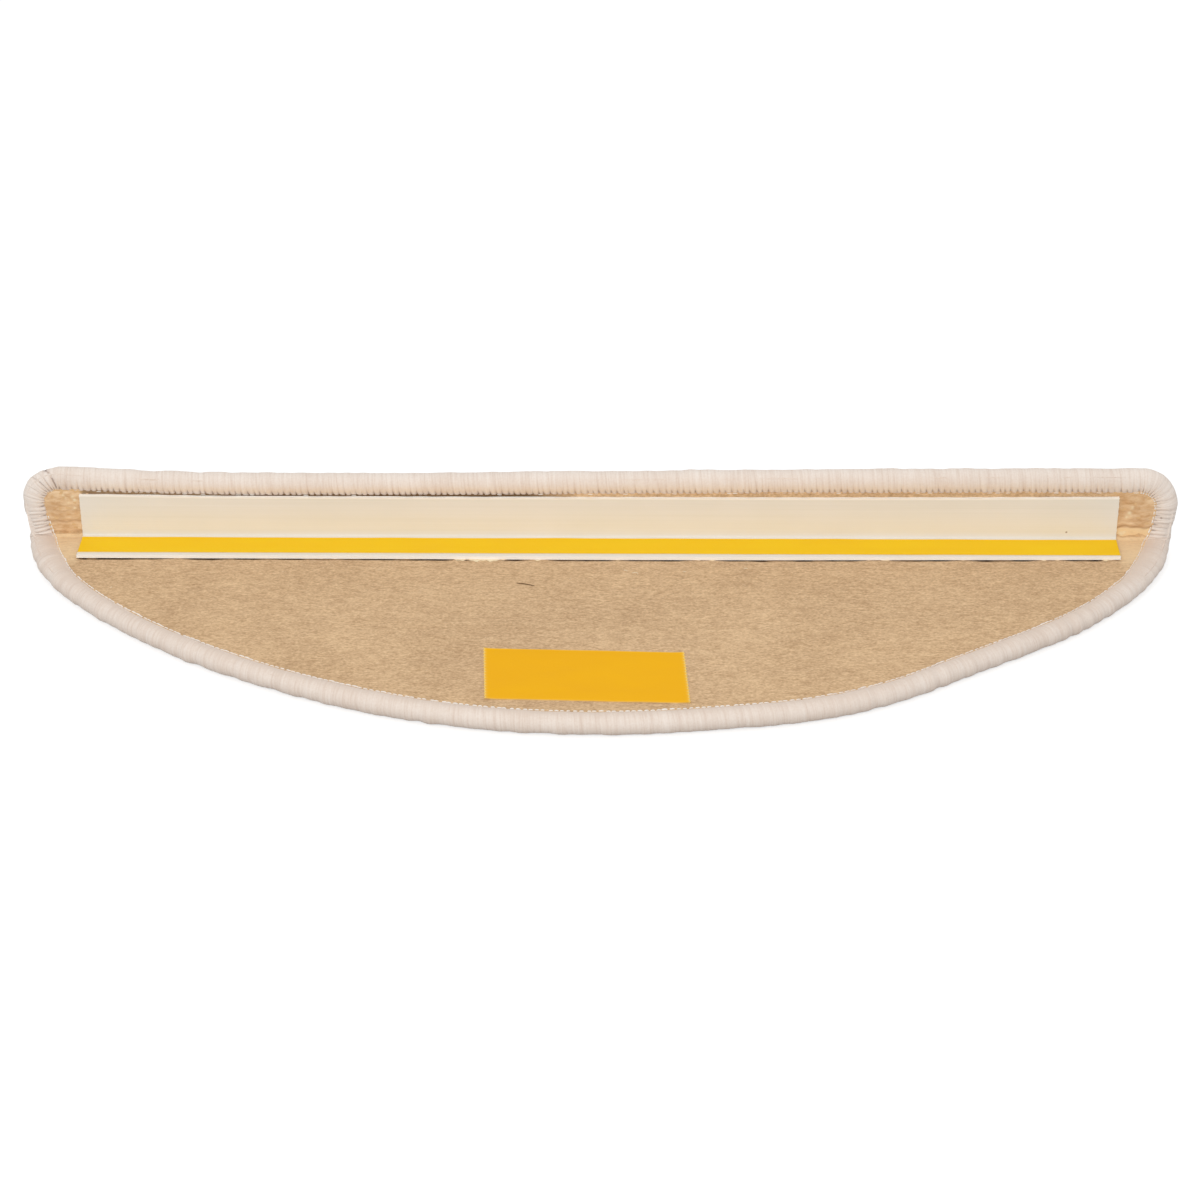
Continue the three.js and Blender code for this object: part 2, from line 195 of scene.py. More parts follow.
def ramp(value, start, end):
    """0 at start, 1 at end, a straight line between them and level beyond them."""
    return np.clip((value - start) / (end - start), 0, 1)


def bell(value, middle, width):
    """A bell curve: 1 at the middle and 1/e at the width on both sides of it."""
    return np.exp(-(((value - middle) / width) ** 2))


def ripple(way, low, high, seed):
    """A seeded sum of whole waves round the edge, low to high of them, with a spread of one."""
    dice = np.random.default_rng(seed)
    waves = np.arange(low, high)
    phase = dice.uniform(0, 2 * math.pi, len(waves))
    size = dice.normal(0, 1, len(waves)) / np.sqrt(len(waves) / 2)
    total = np.cos(2 * math.pi * np.ravel(way)[:, None] * waves + phase) @ size
    return total.reshape(np.shape(way))


def spread_waves(x, y, longest, shortest, count, seed, squash=1.0):
    """A seeded sum of plane waves over a surface, with a spread of one; squash above 1 draws them out along
    x."""
    dice = np.random.default_rng(seed)
    total = np.zeros(np.broadcast(x, y).shape)
    for _ in range(count):
        length = math.exp(dice.uniform(math.log(shortest), math.log(longest)))
        turn, phase = dice.uniform(0, 2 * math.pi, 2)
        across = x * math.cos(turn) / squash + y * math.sin(turn)
        total = total + np.cos(2 * math.pi / length * across + phase)
    return total / math.sqrt(count / 2)


# Places on the mat


def arc(centre_x, centre_y, radius, start, end, steps):
    """Points of a circle between two angles."""
    turn = np.linspace(start, end, steps)
    return np.stack([centre_x + radius * np.cos(turn), centre_y + radius * np.sin(turn)], -1)


def cut_edge():
    """The unfolded mat's edge against the clock: long round edge, side bend, corner, dipped top, corner, side
    bend, put at even steps along it, with the direction that points inwards square to it."""
    side_centre = TOP_RUN - CORNER_RADIUS
    side_x = WIDTH / 2 - SIDE_RADIUS
    length = side_centre - FRONT_RUN
    front = (side_x**2 + length**2 - SIDE_RADIUS**2) / (2 * (length - SIDE_RADIUS))
    centre = FRONT_RUN + front
    reach = math.atan2(side_x, centre - side_centre)
    corner_x = WIDTH / 2 - CORNER_RADIUS
    share = np.linspace(1, -1, 241)
    parts = [
        arc(0, centre, front, -QUARTER - reach, -QUARTER + reach, 1200),
        arc(side_x, side_centre, SIDE_RADIUS, -QUARTER + reach, 0, 500),
        arc(corner_x, side_centre, CORNER_RADIUS, 0, QUARTER, 160),
        np.stack([share * corner_x, TOP_RUN - top_drop(share)], -1),
        arc(-corner_x, side_centre, CORNER_RADIUS, QUARTER, 2 * QUARTER, 160),
        arc(-side_x, side_centre, SIDE_RADIUS, 2 * QUARTER, 3 * QUARTER - reach, 500),
    ]
    path = np.concatenate([part[:-1] for part in parts])
    step = np.linalg.norm(np.roll(path, -1, 0) - path, axis=1)
    way = np.concatenate([[0], np.cumsum(step)])
    closed = np.concatenate([path, path[:1]])
    even = np.arange(OUTLINE_POINTS) / OUTLINE_POINTS
    point = np.stack([np.interp(even * way[-1], way, closed[:, i]) for i in range(2)], -1)
    along = np.roll(point, -1, 0) - np.roll(point, 1, 0)
    along /= np.linalg.norm(along, axis=1)[:, None]
    return even, point, np.stack([-along[:, 1], along[:, 0]], -1), way[-1]


WAYS, EDGE, INWARDS, PERIMETER = cut_edge()


def widening(x, run):
    """How much further the binding reaches in: straight lines between the knots along the sides, and along
    the flap's top edge a line of its own that leaves out the dip."""
    knots = np.array([*WIDER_AT_SIDES, (TOP_RUN / MM, WIDER_AT_TOP / MM, WIDER_AT_TOP / MM)]).T * MM
    sides = np.where(x < 0, np.interp(run, knots[0], knots[1]), np.interp(run, knots[0], knots[2]))
    top = (np.abs(x) < WIDTH / 2 - CORNER_RADIUS) & (run > 0)
    dip = (TOP_RUN - run) / top_drop(DEEPEST)
    return np.where(top, WIDER_AT_TOP + (WIDER_AT_DIP - WIDER_AT_TOP) * dip, sides)


def at_edge(way, inset, wider=0.0):
    """x and run of places that lie inset from the cut edge; way goes from 0 to 1 round it, and wider is the
    part of the binding's widening that moves the place further in. Each stray place adds a squared cosine."""
    way, inset, wider = np.broadcast_arrays(way, inset, wider)
    x, run, in_x, in_run = (np.interp(way, WAYS, table, period=1) for table in (*EDGE.T, *INWARDS.T))
    strays = wider * widening(x, run)
    for middle, reach, inwards in CUT_STRAYS:
        away = np.minimum(np.abs(x - middle) / reach, 1)
        strays = strays + np.where(run < 0, inwards * np.cos(away * QUARTER) ** 2, 0)
    return x + in_x * (inset + strays), run + in_run * (inset + strays)


def folded(x, run, depth):
    """The point of the folded mat at x, run and depth: flat on the tread, round a quarter circle, upright on
    the flap."""
    x, run, depth = np.broadcast_arrays(x, run, depth)
    turn = np.clip((run + FOLD_RUN / 2) / MID_RADIUS, 0, QUARTER)
    radius = FOLD_RADIUS + depth
    y = FOLD_CENTRE + radius * np.sin(turn) + np.minimum(run + FOLD_RUN / 2, 0)
    z = -FOLD_CENTRE - radius * np.cos(turn) + np.maximum(run - FOLD_RUN / 2, 0)
    return np.stack([x, y, z], -1) + CORNER


def side_way(side, run):
    """The way to a run on the left (-1) or right (1) side."""
    near = np.where(EDGE[:, 0] * side > 0, np.abs(EDGE[:, 1] - run), 1)
    return WAYS[int(np.argmin(near))]


def corner_way(side, degrees):
    """The way to an angle of a flap corner, 0 being level and 90 straight up."""
    turn = math.radians(degrees)
    x = side * (WIDTH / 2 - CORNER_RADIUS + CORNER_RADIUS * math.cos(turn))
    run = TOP_RUN - CORNER_RADIUS + CORNER_RADIUS * math.sin(turn)
    return WAYS[int(np.argmin(np.linalg.norm(EDGE - (x, run), axis=1)))]


def way_from(way, middle):
    """Distance along the edge from a place, in metres, the short way round."""
    return ((way - middle + 0.5) % 1 - 0.5) * PERIMETER


def edge_spans(inset, wider=0.0):
    """Along the line that lies inset from the cut edge: its lowest and highest run for any x, and its end
    x."""
    x, run = at_edge(WAYS, inset, wider)
    left, right = int(np.argmin(x)), int(np.argmax(x))
    order = np.roll(np.arange(len(x)), -left)
    turn = (right - left) % len(x)
    low, high = order[: turn + 1], np.concatenate([order[turn:], order[:1]])[::-1]
    return (x[low], run[low]), (x[high], run[high]), x[left], x[right]


def columns_between(left, right, step, end=6 * MM):
    """Places along x, even in the middle and closer and closer towards both ends, where the outline is
    steep."""
    count = max(2, round((right - left - 2 * end) / step))
    middle = np.linspace(left + end, right - end, count + 1)
    close = end * (1 - (np.arange(1, 11) / 10)) ** 2
    return np.concatenate([(left + close)[::-1], middle, right - close])


# Meshes from arrays


def grid_faces(rows, columns):
    """Two triangles for each cell of a grid of points."""
    index = np.arange(rows * columns).reshape(rows, columns)
    a, b, c, d = index[:-1, :-1], index[1:, :-1], index[1:, 1:], index[:-1, 1:]
    return np.concatenate([np.stack(t, -1).reshape(-1, 3) for t in ((a, b, c), (a, c, d))])


def shell(points, faces, marks=None, uv=None):
    """A closed shell: near points become one, faces that shrink to a line go, and the rest is turned
    outwards, which holds where the summed volume of the triangles is positive."""
    points = np.asarray(points, float).reshape(-1, 3)
    steps = np.round(points / MERGED).astype(np.int64)
    _, first, where = np.unique(steps, axis=0, return_index=True, return_inverse=True)
    merged = where.reshape(-1)[faces]
    whole = (merged != np.roll(merged, 1, 1)).all(1)
    faces, merged = faces[whole], merged[whole]
    kept = points[first]
    corners = kept[merged] - kept.mean(0)
    if (corners[:, 0] * np.cross(corners[:, 1], corners[:, 2])).sum() < 0:
        faces, merged = faces[:, ::-1], merged[:, ::-1]
    marks = {name: np.asarray(value, float).ravel()[first] for name, value in (marks or {}).items()}
    uv = None if uv is None else np.asarray(uv, float).reshape(-1, 2)[faces]
    return {"points": kept, "faces": merged, "marks": marks, "uv": uv}


def piece(name, shells, sharp=40.0):
    """An object from closed shells, smooth but for edges sharper than the given angle."""
    points = np.concatenate([s["points"] for s in shells])
    starts = np.cumsum([0] + [len(s["points"]) for s in shells[:-1]])
    faces = np.concatenate([s["faces"] + start for s, start in zip(shells, starts)])
    mesh = bpy.data.meshes.new(name)
    mesh.vertices.add(len(points))
    mesh.vertices.foreach_set("co", points.astype(np.float32).ravel())
    mesh.loops.add(faces.size)
    mesh.loops.foreach_set("vertex_index", faces.astype(np.int32).ravel())
    mesh.polygons.add(len(faces))
    mesh.polygons.foreach_set("loop_start", np.arange(0, faces.size, 3, dtype=np.int32))
    mesh.polygons.foreach_set("use_smooth", np.ones(len(faces), bool))
    mesh.update(calc_edges=True)
    for mark in shells[0]["marks"]:
        values = np.concatenate([s["marks"][mark] for s in shells]).astype(np.float32)
        mesh.attributes.new(mark, "FLOAT", "POINT").data.foreach_set("value", values)
    if shells[0]["uv"] is not None:
        uv = np.concatenate([s["uv"] for s in shells]).astype(np.float32)
        mesh.uv_layers.new(name="UVMap").data.foreach_set("uv", uv.ravel())
    mesh.set_sharp_from_angle(angle=math.radians(sharp))
    made = bpy.data.objects.new(name, mesh)
    bpy.context.scene.collection.objects.link(made)
    return made


def slab(top, bottom, marks=None):
    """A closed shell between two grids of the same size, joined by a wall round their border."""
    rows, columns = top.shape[:2]
    faces = grid_faces(rows, columns)
    count = rows * columns
    index = np.arange(count).reshape(rows, columns)
    ring = np.concatenate([index[0, :-1], index[:-1, -1], index[-1, :0:-1], index[:0:-1, 0]])
    after = np.roll(ring, -1)
    wall = [np.stack([ring, after, after + count], -1), np.stack([ring, after + count, ring + count], -1)]
    points = np.concatenate([top.reshape(-1, 3), bottom.reshape(-1, 3)])
    doubled = {name: np.concatenate([np.ravel(value)] * 2) for name, value in (marks or {}).items()}
    return shell(points, np.concatenate([faces[:, ::-1], faces + count, *wall]), doubled)


def ring_shell(points, marks=None, uv=None):
    """A closed shell from a grid that closes on itself both ways."""
    return shell(points, grid_faces(*points.shape[:2]), marks, uv)


def layer(spans, x, face_rows, back_rows, face_depth, marks=None):
    """A closed layer of the mat, down to the felt's back. Each column runs over the face's rows and back over
    the back's rows, and rows past the outline, given by its spans, are held on it. face_depth and marks are
    functions of x and run."""
    (low_x, low), (high_x, high), _, _ = spans
    bottom, top = np.interp(x, low_x, low), np.interp(x, high_x, high)
    rows = np.concatenate([face_rows, back_rows[::-1], face_rows[:1]])
    run = np.clip(rows[None, :], bottom[:, None], np.maximum(top, bottom)[:, None])
    wide = np.broadcast_to(x[:, None], run.shape)
    on_face = np.arange(len(rows)) < len(face_rows)
    on_face[-1] = True
    depth = np.where(on_face[None, :], face_depth(wide, run), FELT)
    found = {name: mark(wide, run) * on_face[None, :] for name, mark in (marks or {}).items()}
    return ring_shell(folded(wide, run, depth), found)


# Materials


def srgb(red, green, blue):
    """Linear colour from the values 0 to 255 of a picture."""
    share = np.array([red, green, blue]) / 255
    linear = np.where(share <= 0.04045, share / 12.92, ((share + 0.055) / 1.055) ** 2.4)
    return tuple(float(v) for v in linear)


def find_node(tree, kind):
    return next(node for node in tree.nodes if node.bl_idname == "ShaderNode" + kind)


class Wire:
    """A node's number in a formula: arithmetic on it adds Math nodes."""

    def __init__(self, finish, socket):
        self.finish, self.socket = finish, socket

    def math(self, operation, other):
        return self.finish.wire("Math", 0, {"operation": operation}, {0: self, 1: other})

    def __add__(self, other):
        return self.math("ADD", other)

    def __sub__(self, other):
        return self.math("SUBTRACT", other)

    def __mul__(self, other):
        return self.math("MULTIPLY", other)

    def __rsub__(self, other):
        return self * -1.0 + other

    __radd__ = __add__

    def clamped(self):
        return self.math("MAXIMUM", 0.0).math("MINIMUM", 1.0)


class Finish:
    """A procedural material round one Principled shader."""

    def __init__(self, name, **constants):
        self.material = bpy.data.materials.new(name)
        self.material.use_nodes = True
        self.tree = self.material.node_tree
        self.shader = find_node(self.tree, "BsdfPrincipled")
        for socket, value in constants.items():
            self.shader.inputs[socket.replace("_", " ")].default_value = value

    def node(self, kind, settings=None, inputs=None):
        """Adds a node: its settings first, then the values or links of its sockets."""
        made = self.tree.nodes.new("ShaderNode" + kind)
        for name, value in (settings or {}).items():
            setattr(made, name, value)
        for key, value in (inputs or {}).items():
            if isinstance(value, Wire):
                self.tree.links.new(value.socket, made.inputs[key])
            else:
                made.inputs[key].default_value = value
        return made

    def wire(self, kind, output, settings=None, inputs=None):
        return Wire(self, self.node(kind, settings, inputs).outputs[output])

    def place(self, stretch=(1, 1, 1), uv=False):
        """Object coordinates in metres, or the piece's own UV, stretched; UV is also turned and moved a
        little, off the grid that noise is built on."""
        start = self.wire("TexCoord", "UV" if uv else "Object")
        off_grid = {"Location": (0, 0, 0.37), "Rotation": (0, 0, 0.21)} if uv else {}
        return self.wire("Mapping", 0, {}, {"Vector": start, "Scale": stretch, **off_grid})

    def noise(self, scale, detail=2.0, roughness=0.5, stretch=(1, 1, 1), uv=False):
        """Noise from 0 to 1."""
        inputs = {"Vector": self.place(stretch, uv), "Scale": scale, "Detail": detail, "Roughness": roughness}
        return self.wire("TexNoise", 0, {}, inputs)

    def mark(self, name):
        return self.wire("Attribute", "Fac", {"attribute_name": name})

    def tone(self, start, *parts):
        """A share from 0 to 1: start, and what each noise differs from a half, times its weight."""
        for noise, weight in parts:
            start = (noise - 0.5) * weight + start
        return start.clamped()

    def mix(self, factor, a, b):
        """Colour a where factor is 0 and b where it is 1."""
        colours = {6 + i: c if isinstance(c, Wire) else (*c, 1.0) for i, c in enumerate((a, b))}
        return self.wire("Mix", 2, {"data_type": "RGBA"}, {0: factor, **colours})

    def over(self, colour, share, red, green, blue):
        """A colour with another, in a picture's values, laid over it by a share that is held between 0 and
        1."""
        return self.mix(share.clamped(), colour, srgb(red, green, blue))

    def step(self, value, low, high):
        """0 below low, 1 above high and smooth between them."""
        settings = {"interpolation_type": "SMOOTHSTEP"}
        return self.wire("MapRange", 0, settings, {"Value": value, "From Min": low, "From Max": high})

    def near(self, x, y, z, radius):
        """1 at a place, in millimetres from the angle's inner corner, and 0 from the radius outwards."""
        there = tuple(map(float, np.array([x, y, z]) * MM + CORNER))
        inputs = {0: self.wire("TexCoord", "Object"), 1: there}
        length = self.wire("VectorMath", "Value", {"operation": "DISTANCE"}, inputs)
        return self.step(length, radius * MM, radius * MM * 0.4)

    def feed(self, socket, wire):
        self.tree.links.new(wire.socket, self.shader.inputs[socket])

    def bump(self, height, distance, strength):
        inputs = {"Height": height, "Distance": distance, "Strength": strength}
        self.feed("Normal", self.wire("Bump", 0, {}, inputs))

    def on(self, made):
        made.data.materials.clear()
        made.data.materials.append(self.material)


def yarn_finish(name, settings, stitches=False):
    """Glossy spun yarn: fine threads lie along each turn, and painted shade makes the grooves warmer and
    darker.
    """
    finish = Finish(name, Roughness=0.7, Specular_IOR_Level=0.25, Sheen_Weight=0.2, Sheen_Roughness=0.5)
    groove, shade = finish.mark("groove"), finish.mark("shade")
    threads = finish.noise(1.0, 2.0, 0.6, (2.9, 0.15, 1), uv=True)
    fuzz = finish.noise(1000.0)
    patches = finish.noise(55.0, 1.0)
    # the shade mark holds each turn's random tone together with painted light and shade
    tone = finish.tone(shade * 0.35 + 0.5, (threads, 1.2), (fuzz, 0.7), (patches, 0.6))
    colour = finish.mix(tone, settings.shaded, settings.lit)
    # painted shade in the grooves between turns; the darker threads take the same colour
    between = (groove * 0.4 + (0.45 - threads) * 0.5).clamped()
    colour = finish.mix(between, colour, settings.dark_thread_and_groove_shade)
    # painted highlight: the stitch loops are lightened towards white by their shade mark
    if stitches:
        colour = finish.over(colour, shade * 0.6, 255, 250, 243)
    else:
        # painted shade in the notches at the inner line and in the roll's creases
        colour = finish.over(colour, finish.mark("notch") * 0.8, 118, 84, 66)
        colour = finish.over(colour, finish.mark("stain"), 112, 72, 60)
        for spot in YARN_SPOTS:
            colour = finish.over(colour, finish.near(*spot) * 0.55, 120, 84, 66)
    finish.feed("Base Color", colour)
    finish.bump(threads * 0.8 + fuzz * 0.2, 0.3 * MM, 0.7)
    return finish


def felt_finish(settings):
    """Needled felt: short fibres lie mostly along the nose, over a soft mottle; soaked places are golden, and
    painted shade darkens the felt along the angle's edges.
    """
    finish = Finish("felt", Specular_IOR_Level=0.2, Sheen_Weight=0.15, Sheen_Roughness=0.5)
    fibres = finish.noise(1250.0, 3.0, 0.6, (0.5, 1, 1))
    strands = finish.noise(620.0, 2.0, 0.6, (0.4, 1, 1))
    mottle = finish.noise(140.0, stretch=(0.6, 1, 1))
    clouds = finish.noise(18.0)
    tone = finish.tone(0.5, (fibres, 2.0), (strands, 1.3), (mottle, 0.45), (clouds, 0.5))
    colour = finish.mix(tone, settings.dark, settings.light)
    colour = finish.over(colour, finish.mark("faded") * (strands * 0.5 + 0.5), 246, 216, 172)
    flecks = finish.step(finish.noise(900.0, 1.0, stretch=(0.5, 1, 1)), 0.71, 0.76)
    colour = finish.over(colour, flecks * 0.45, 236, 208, 172)
    soaked = finish.mark("soaked").clamped()
    golden = (mottle * 0.6 + strands * 0.4).clamped()
    colour = finish.mix(soaked, colour, finish.mix(golden, srgb(212, 168, 116), srgb(238, 204, 156)))
    # painted shade: a dark brown line along the angle's edges
    colour = finish.over(colour, finish.mark("gap_shade"), 84, 58, 34)
    finish.feed("Base Color", colour)
    finish.feed("Roughness", 0.95 - soaked * 0.5)
    finish.bump(fibres * 0.5 + strands * 0.4 + mottle * 0.15, 0.5 * MM, 0.8)
    return finish


def glue_finish(settings):
    """Dried contact glue: golden and shiny, cloudy where it is thick, with pale crumbs and painted shade in
    its creases.
    """
    finish = Finish("dried_glue", Specular_IOR_Level=0.5)
    clouds = finish.noise(330.0, 3.0, 0.6, (0.42, 1, 1))
    grain = finish.noise(1000.0, stretch=(0.4, 1, 1))
    patches = finish.noise(90.0, 1.0, stretch=(0.8, 1, 1))
    tone = finish.tone(0.55, (clouds, 2.4), (grain, 0.9), (patches, 1.2))
    colour = finish.mix(tone, settings.thick, settings.thin)
    colour = finish.over(colour, finish.mark("thin") * (grain * 0.6 + 0.55), 250, 218, 168)
    # painted shade in the creases
    colour = finish.over(colour, finish.mark("crease") * (grain * 0.5 + 0.35), 158, 110, 66)
    colour = finish.over(colour, finish.mark("pale") * (clouds + 0.35), 252, 236, 198)
    finish.feed("Base Color", colour)
    finish.feed("Roughness", grain * 0.3 + 0.42)
    finish.bump(clouds * 0.8 + grain * 0.3, 0.6 * MM, 0.9)
    return finish


def plastic_finish(settings):
    """Extruded ivory plastic: faint streaks along its length, a soft gloss and a little dust. A painted
    highlight and a faint glow, though it is no lamp, make a pale rim at its cut edges and in the fold."""
    # the emission is a painted glow, not a lamp
    finish = Finish("ivory_plastic", Specular_IOR_Level=0.4, Emission_Strength=0.11)
    streaks = finish.noise(1100.0, 2.0, 0.6, (0.006, 1, 1))
    bands = finish.noise(220.0, stretch=(0.01, 1, 1))
    patches = finish.noise(30.0)
    tone = finish.tone(0.5, (streaks, 0.7), (bands, 0.9), (patches, 0.7))
    colour = finish.mix(tone, settings.shaded, settings.lit)
    colour = finish.over(colour, finish.near(*SPECK, 0.8) * 0.7, 140, 100, 60)
    # painted highlight: the cut edges are whitened
    colour = finish.over(colour, finish.mark("cut") * 0.9, 255, 250, 241)
    finish.feed("Base Color", colour)
    # painted glow along the cut edges and in the fold
    rim = finish.mark("cut") * 0.55 + finish.mark("fold") * 0.25
    finish.feed("Emission Color", finish.over((0, 0, 0), rim, 255, 246, 236))
    finish.feed("Roughness", streaks * 0.16 + patches * 0.06 + 0.36)
    finish.bump(streaks * 0.5 + bands * 0.5, 0.12 * MM, 0.6)
    return finish


def liner_finish(name, light, deep, fringe=False):
    """Waxed release paper: an even yellow with a faint cloud and a soft gloss."""
    finish = Finish(name, Specular_IOR_Level=0.14)
    clouds = finish.noise(60.0, stretch=(0.4, 1, 1))
    paper = finish.noise(900.0)
    colour = finish.mix(finish.tone(0.5, (clouds, 1.1), (paper, 0.35)), deep, light)
    if fringe:
        colour = finish.over(colour, finish.mark("fringe") * (paper * 0.5 + 0.6), 255, 232, 150)
    finish.feed("Base Color", colour)
    finish.feed("Roughness", clouds * 0.14 + 0.5)
    finish.bump(clouds * 0.8 + paper * 0.1, 0.25 * MM, 0.5)
    return finish


def tape_finish():
    """The tape's pale sticky layer, cloudy as it is between felt and liner."""
    finish = Finish("tape_layer", Specular_IOR_Level=0.5)
    clouds = finish.noise(260.0)
    finish.feed("Base Color", finish.mix(clouds, srgb(214, 176, 104), srgb(240, 214, 152)))
    finish.feed("Roughness", clouds * 0.2 + 0.4)
    return finish


def pile_finish(settings):
    """Low loop pile: round loops in loose rows, lighter on their tops, with painted shade between them."""
    finish = Finish("loop_pile", Specular_IOR_Level=0.2, Sheen_Weight=0.3, Sheen_Roughness=0.5)
    where = {"Vector": finish.place((1, 0.85, 0.85)), "Scale": 330.0, "Smoothness": 0.35, "Randomness": 0.75}
    loops = 1 - finish.wire("TexVoronoi", "Distance", {"feature": "SMOOTH_F1"}, where)
    yarn = finish.noise(1700.0)
    tone = finish.tone(0.4, (loops, 1.3), (yarn, 0.5), (finish.noise(30.0), 0.4))
    # painted shade: darker colour between the loops
    finish.feed("Base Color", finish.mix(tone, settings.between, settings.tops))
    finish.feed("Roughness", 0.98 - loops * 0.1)
    finish.bump(loops * 0.85 + yarn * 0.15, 1.6 * MM, 1.0)
    return finish


def plain_finish(name, colour, roughness):
    """One colour with a little variation, for fibres."""
    finish = Finish(name, Specular_IOR_Level=0.3)
    grain = finish.noise(1200.0, 1.0)
    finish.feed("Base Color", finish.mix(grain, tuple(0.8 * c for c in colour), colour))
    finish.feed("Roughness", grain * 0.1 + roughness)
    return finish


# Settings


def colour_setting(name, description, default):
    return FloatVectorProperty(
        name=name, description=description, default=default, size=3, min=0, max=1, subtype="COLOR"
    )


def length_setting(name, description, default):
    return FloatProperty(
        name=name, description=description, default=default, min=0, unit="LENGTH", subtype="DISTANCE"
    )


class BindingSettings(bpy.types.PropertyGroup):
    """The whipped yarn over the mat's edge."""

    turn_pitch: length_setting("Turn pitch", "Distance from one turn of yarn to the next", 3.4 * MM)
    groove: length_setting("Groove", "Depth between two pairs of turns", 0.11 * MM)
    slant: length_setting("Slant", "How far a turn runs along the edge while it crosses the roll", 1.7 * MM)
    waviness: length_setting("Waviness", "Unevenness of the roll's thickness", 0.17 * MM)
    lit: colour_setting("Yarn", "Colour of the yarn", srgb(248, 237, 227))
    shaded: colour_setting("Yarn, darker", "Darker threads of the yarn", srgb(230, 212, 197))
    # painted shade in the grooves between the turns, also used for the darker threads
    dark_thread_and_groove_shade: colour_setting("Grooves", "Colour between the turns", srgb(190, 156, 138))


class FeltSettings(bpy.types.PropertyGroup):
    """The needled felt on the mat's back."""

    light: colour_setting("Felt, light", "Lighter fibres", srgb(236, 201, 157))
    dark: colour_setting("Felt, dark", "Darker fibres", srgb(185, 148, 108))
    unevenness: length_setting("Unevenness", "How far the felt swells and sinks", 0.12 * MM)


class GlueSettings(bpy.types.PropertyGroup):
    """The glue film between the angle and the felt."""

    thin: colour_setting("Thin glue", "Colour where the film is thin", srgb(243, 210, 168))
    thick: colour_setting("Thick glue", "Colour where the film is thick", srgb(210, 166, 117))
    crease: length_setting("Crease", "Depth of the creases above the fold", 0.35 * MM)


class PlasticSettings(bpy.types.PropertyGroup):
    """The nosing angle."""

    lit: colour_setting("Plastic", "Colour of the plastic", srgb(243, 237, 228))
    shaded: colour_setting("Plastic, darker", "Darker streaks", srgb(235, 229, 216))
    rounding: length_setting("Rounding", "Radius of the angle's edges", 0.16 * MM)


class TapeSettings(bpy.types.PropertyGroup):
    """The two tapes' release liners."""

    strip: colour_setting("Strip liner", "Colour of the narrow liner", srgb(255, 211, 28))
    strip_deep: colour_setting("Strip liner, deeper", "Its deeper tone", srgb(252, 200, 24))
    pad: colour_setting("Pad liner", "Colour of the wide liner", srgb(252, 188, 6))
    pad_deep: colour_setting("Pad liner, deeper", "Its deeper tone", srgb(247, 179, 3))


class PileSettings(bpy.types.PropertyGroup):
    """The pile that is walked on."""

    tops: colour_setting("Loop tops", "Colour on top of the loops", srgb(232, 216, 194))
    # the colour between the loops is painted shade
    between: colour_setting("Between loops", "Colour between the loops", srgb(176, 152, 124))


class StageSettings(bpy.types.PropertyGroup):
    """Floor, light and camera."""

    floor: colour_setting("Floor", "Colour of the floor", (0.55, 0.55, 0.55))
    floor_glow: FloatProperty(
        name="Floor glow", description="White that only the camera sees", default=0.62, min=0, max=1
    )
    key: FloatProperty(
        name="Key light", description="Power of the large lamp", default=15.5, min=0, unit="POWER"
    )
    sky: FloatProperty(
        name="Sky", description="Strength of the even light from all round", default=0.74, min=0
    )
    lens: FloatProperty(
        name="Lens", description="Focal length for a 36 mm film", default=91.27, min=1, unit="CAMERA"
    )


# Shapes


def soaked(x, run):
    """Glue in the felt: from the angle's ends to the binding, on the flap, fading at the fold."""
    z = run - RUN_TO_FLAT
    wander = spread_waves(x, z, 9 * MM, 2.5 * MM, count=14, seed=3) * 0.9 * MM
    ends = ramp(np.abs(x) + wander, ANGLE_HALF - 4 * MM, ANGLE_HALF - 2 * MM)
    return ends * ramp(z + wander, 1.0 * MM, 2.6 * MM)


def faded(x, run):
    """The paler felt on the tread beyond the angle's ends, which fades out towards the round edge."""
    ends = ramp(np.abs(x), ANGLE_HALF - 2 * MM, ANGLE_HALF + 1 * MM)
    return ends * ramp(run, -40 * MM, -24 * MM) * ramp(run, 5 * MM, 2 * MM)


def at_angle(x):
    """1 along the angle and 0 beyond its ends."""
    return ramp(np.abs(x), ANGLE_HALF, ANGLE_HALF - 2 * MM)


def leg_reach(x):
    """How far the lower leg reaches from the inner corner: its cut draws back, most at the right end."""
    return LEG - np.interp(x / MM, *LEG_BACK) * MM


def before_leg(x, run):
    """Distance from the lower leg's front edge, less than 0 in front of it."""
    return run + RUN_TO_FLAT + leg_reach(x)


def pressed_out(x):
    """Where glue was pressed out in front of the lower leg: how far, and a share of 0 to 1 for each place;
    the patches are bells of the fourth power, flat on top."""
    reach, share = np.zeros_like(x), np.zeros_like(x)
    for middle, half, out in GLUE_PATCHES:
        patch = np.exp(-(((x - middle * MM) / (half * MM)) ** 4))
        reach = reach + out * MM * patch
        share = np.maximum(share, patch * min(out / 2.2, 1))
    return reach, share


def gap_shade(x, run):
    """Painted shade in the dark gaps: between the upper leg's edge and the binding, on the left half, where
    they nearly touch, and along the lower leg's front edge, where no glue was pressed out."""
    above = np.interp(x / MM, *GAP_SHADE_ABOVE) * ramp(run - RUN_TO_FLAT - LEG, -2 * MM, -1 * MM)
    past = before_leg(x, run)
    uneven = np.clip(0.85 + 0.5 * spread_waves(x, 0 * x, 40 * MM, 4 * MM, count=14, seed=76), 0.25, 1)
    front = ramp(past, -0.95 * MM, -0.65 * MM) * (past < 2 * MM) * uneven * (1 - pressed_out(x)[1])
    return at_angle(x) * np.maximum(above, 0.9 * front)


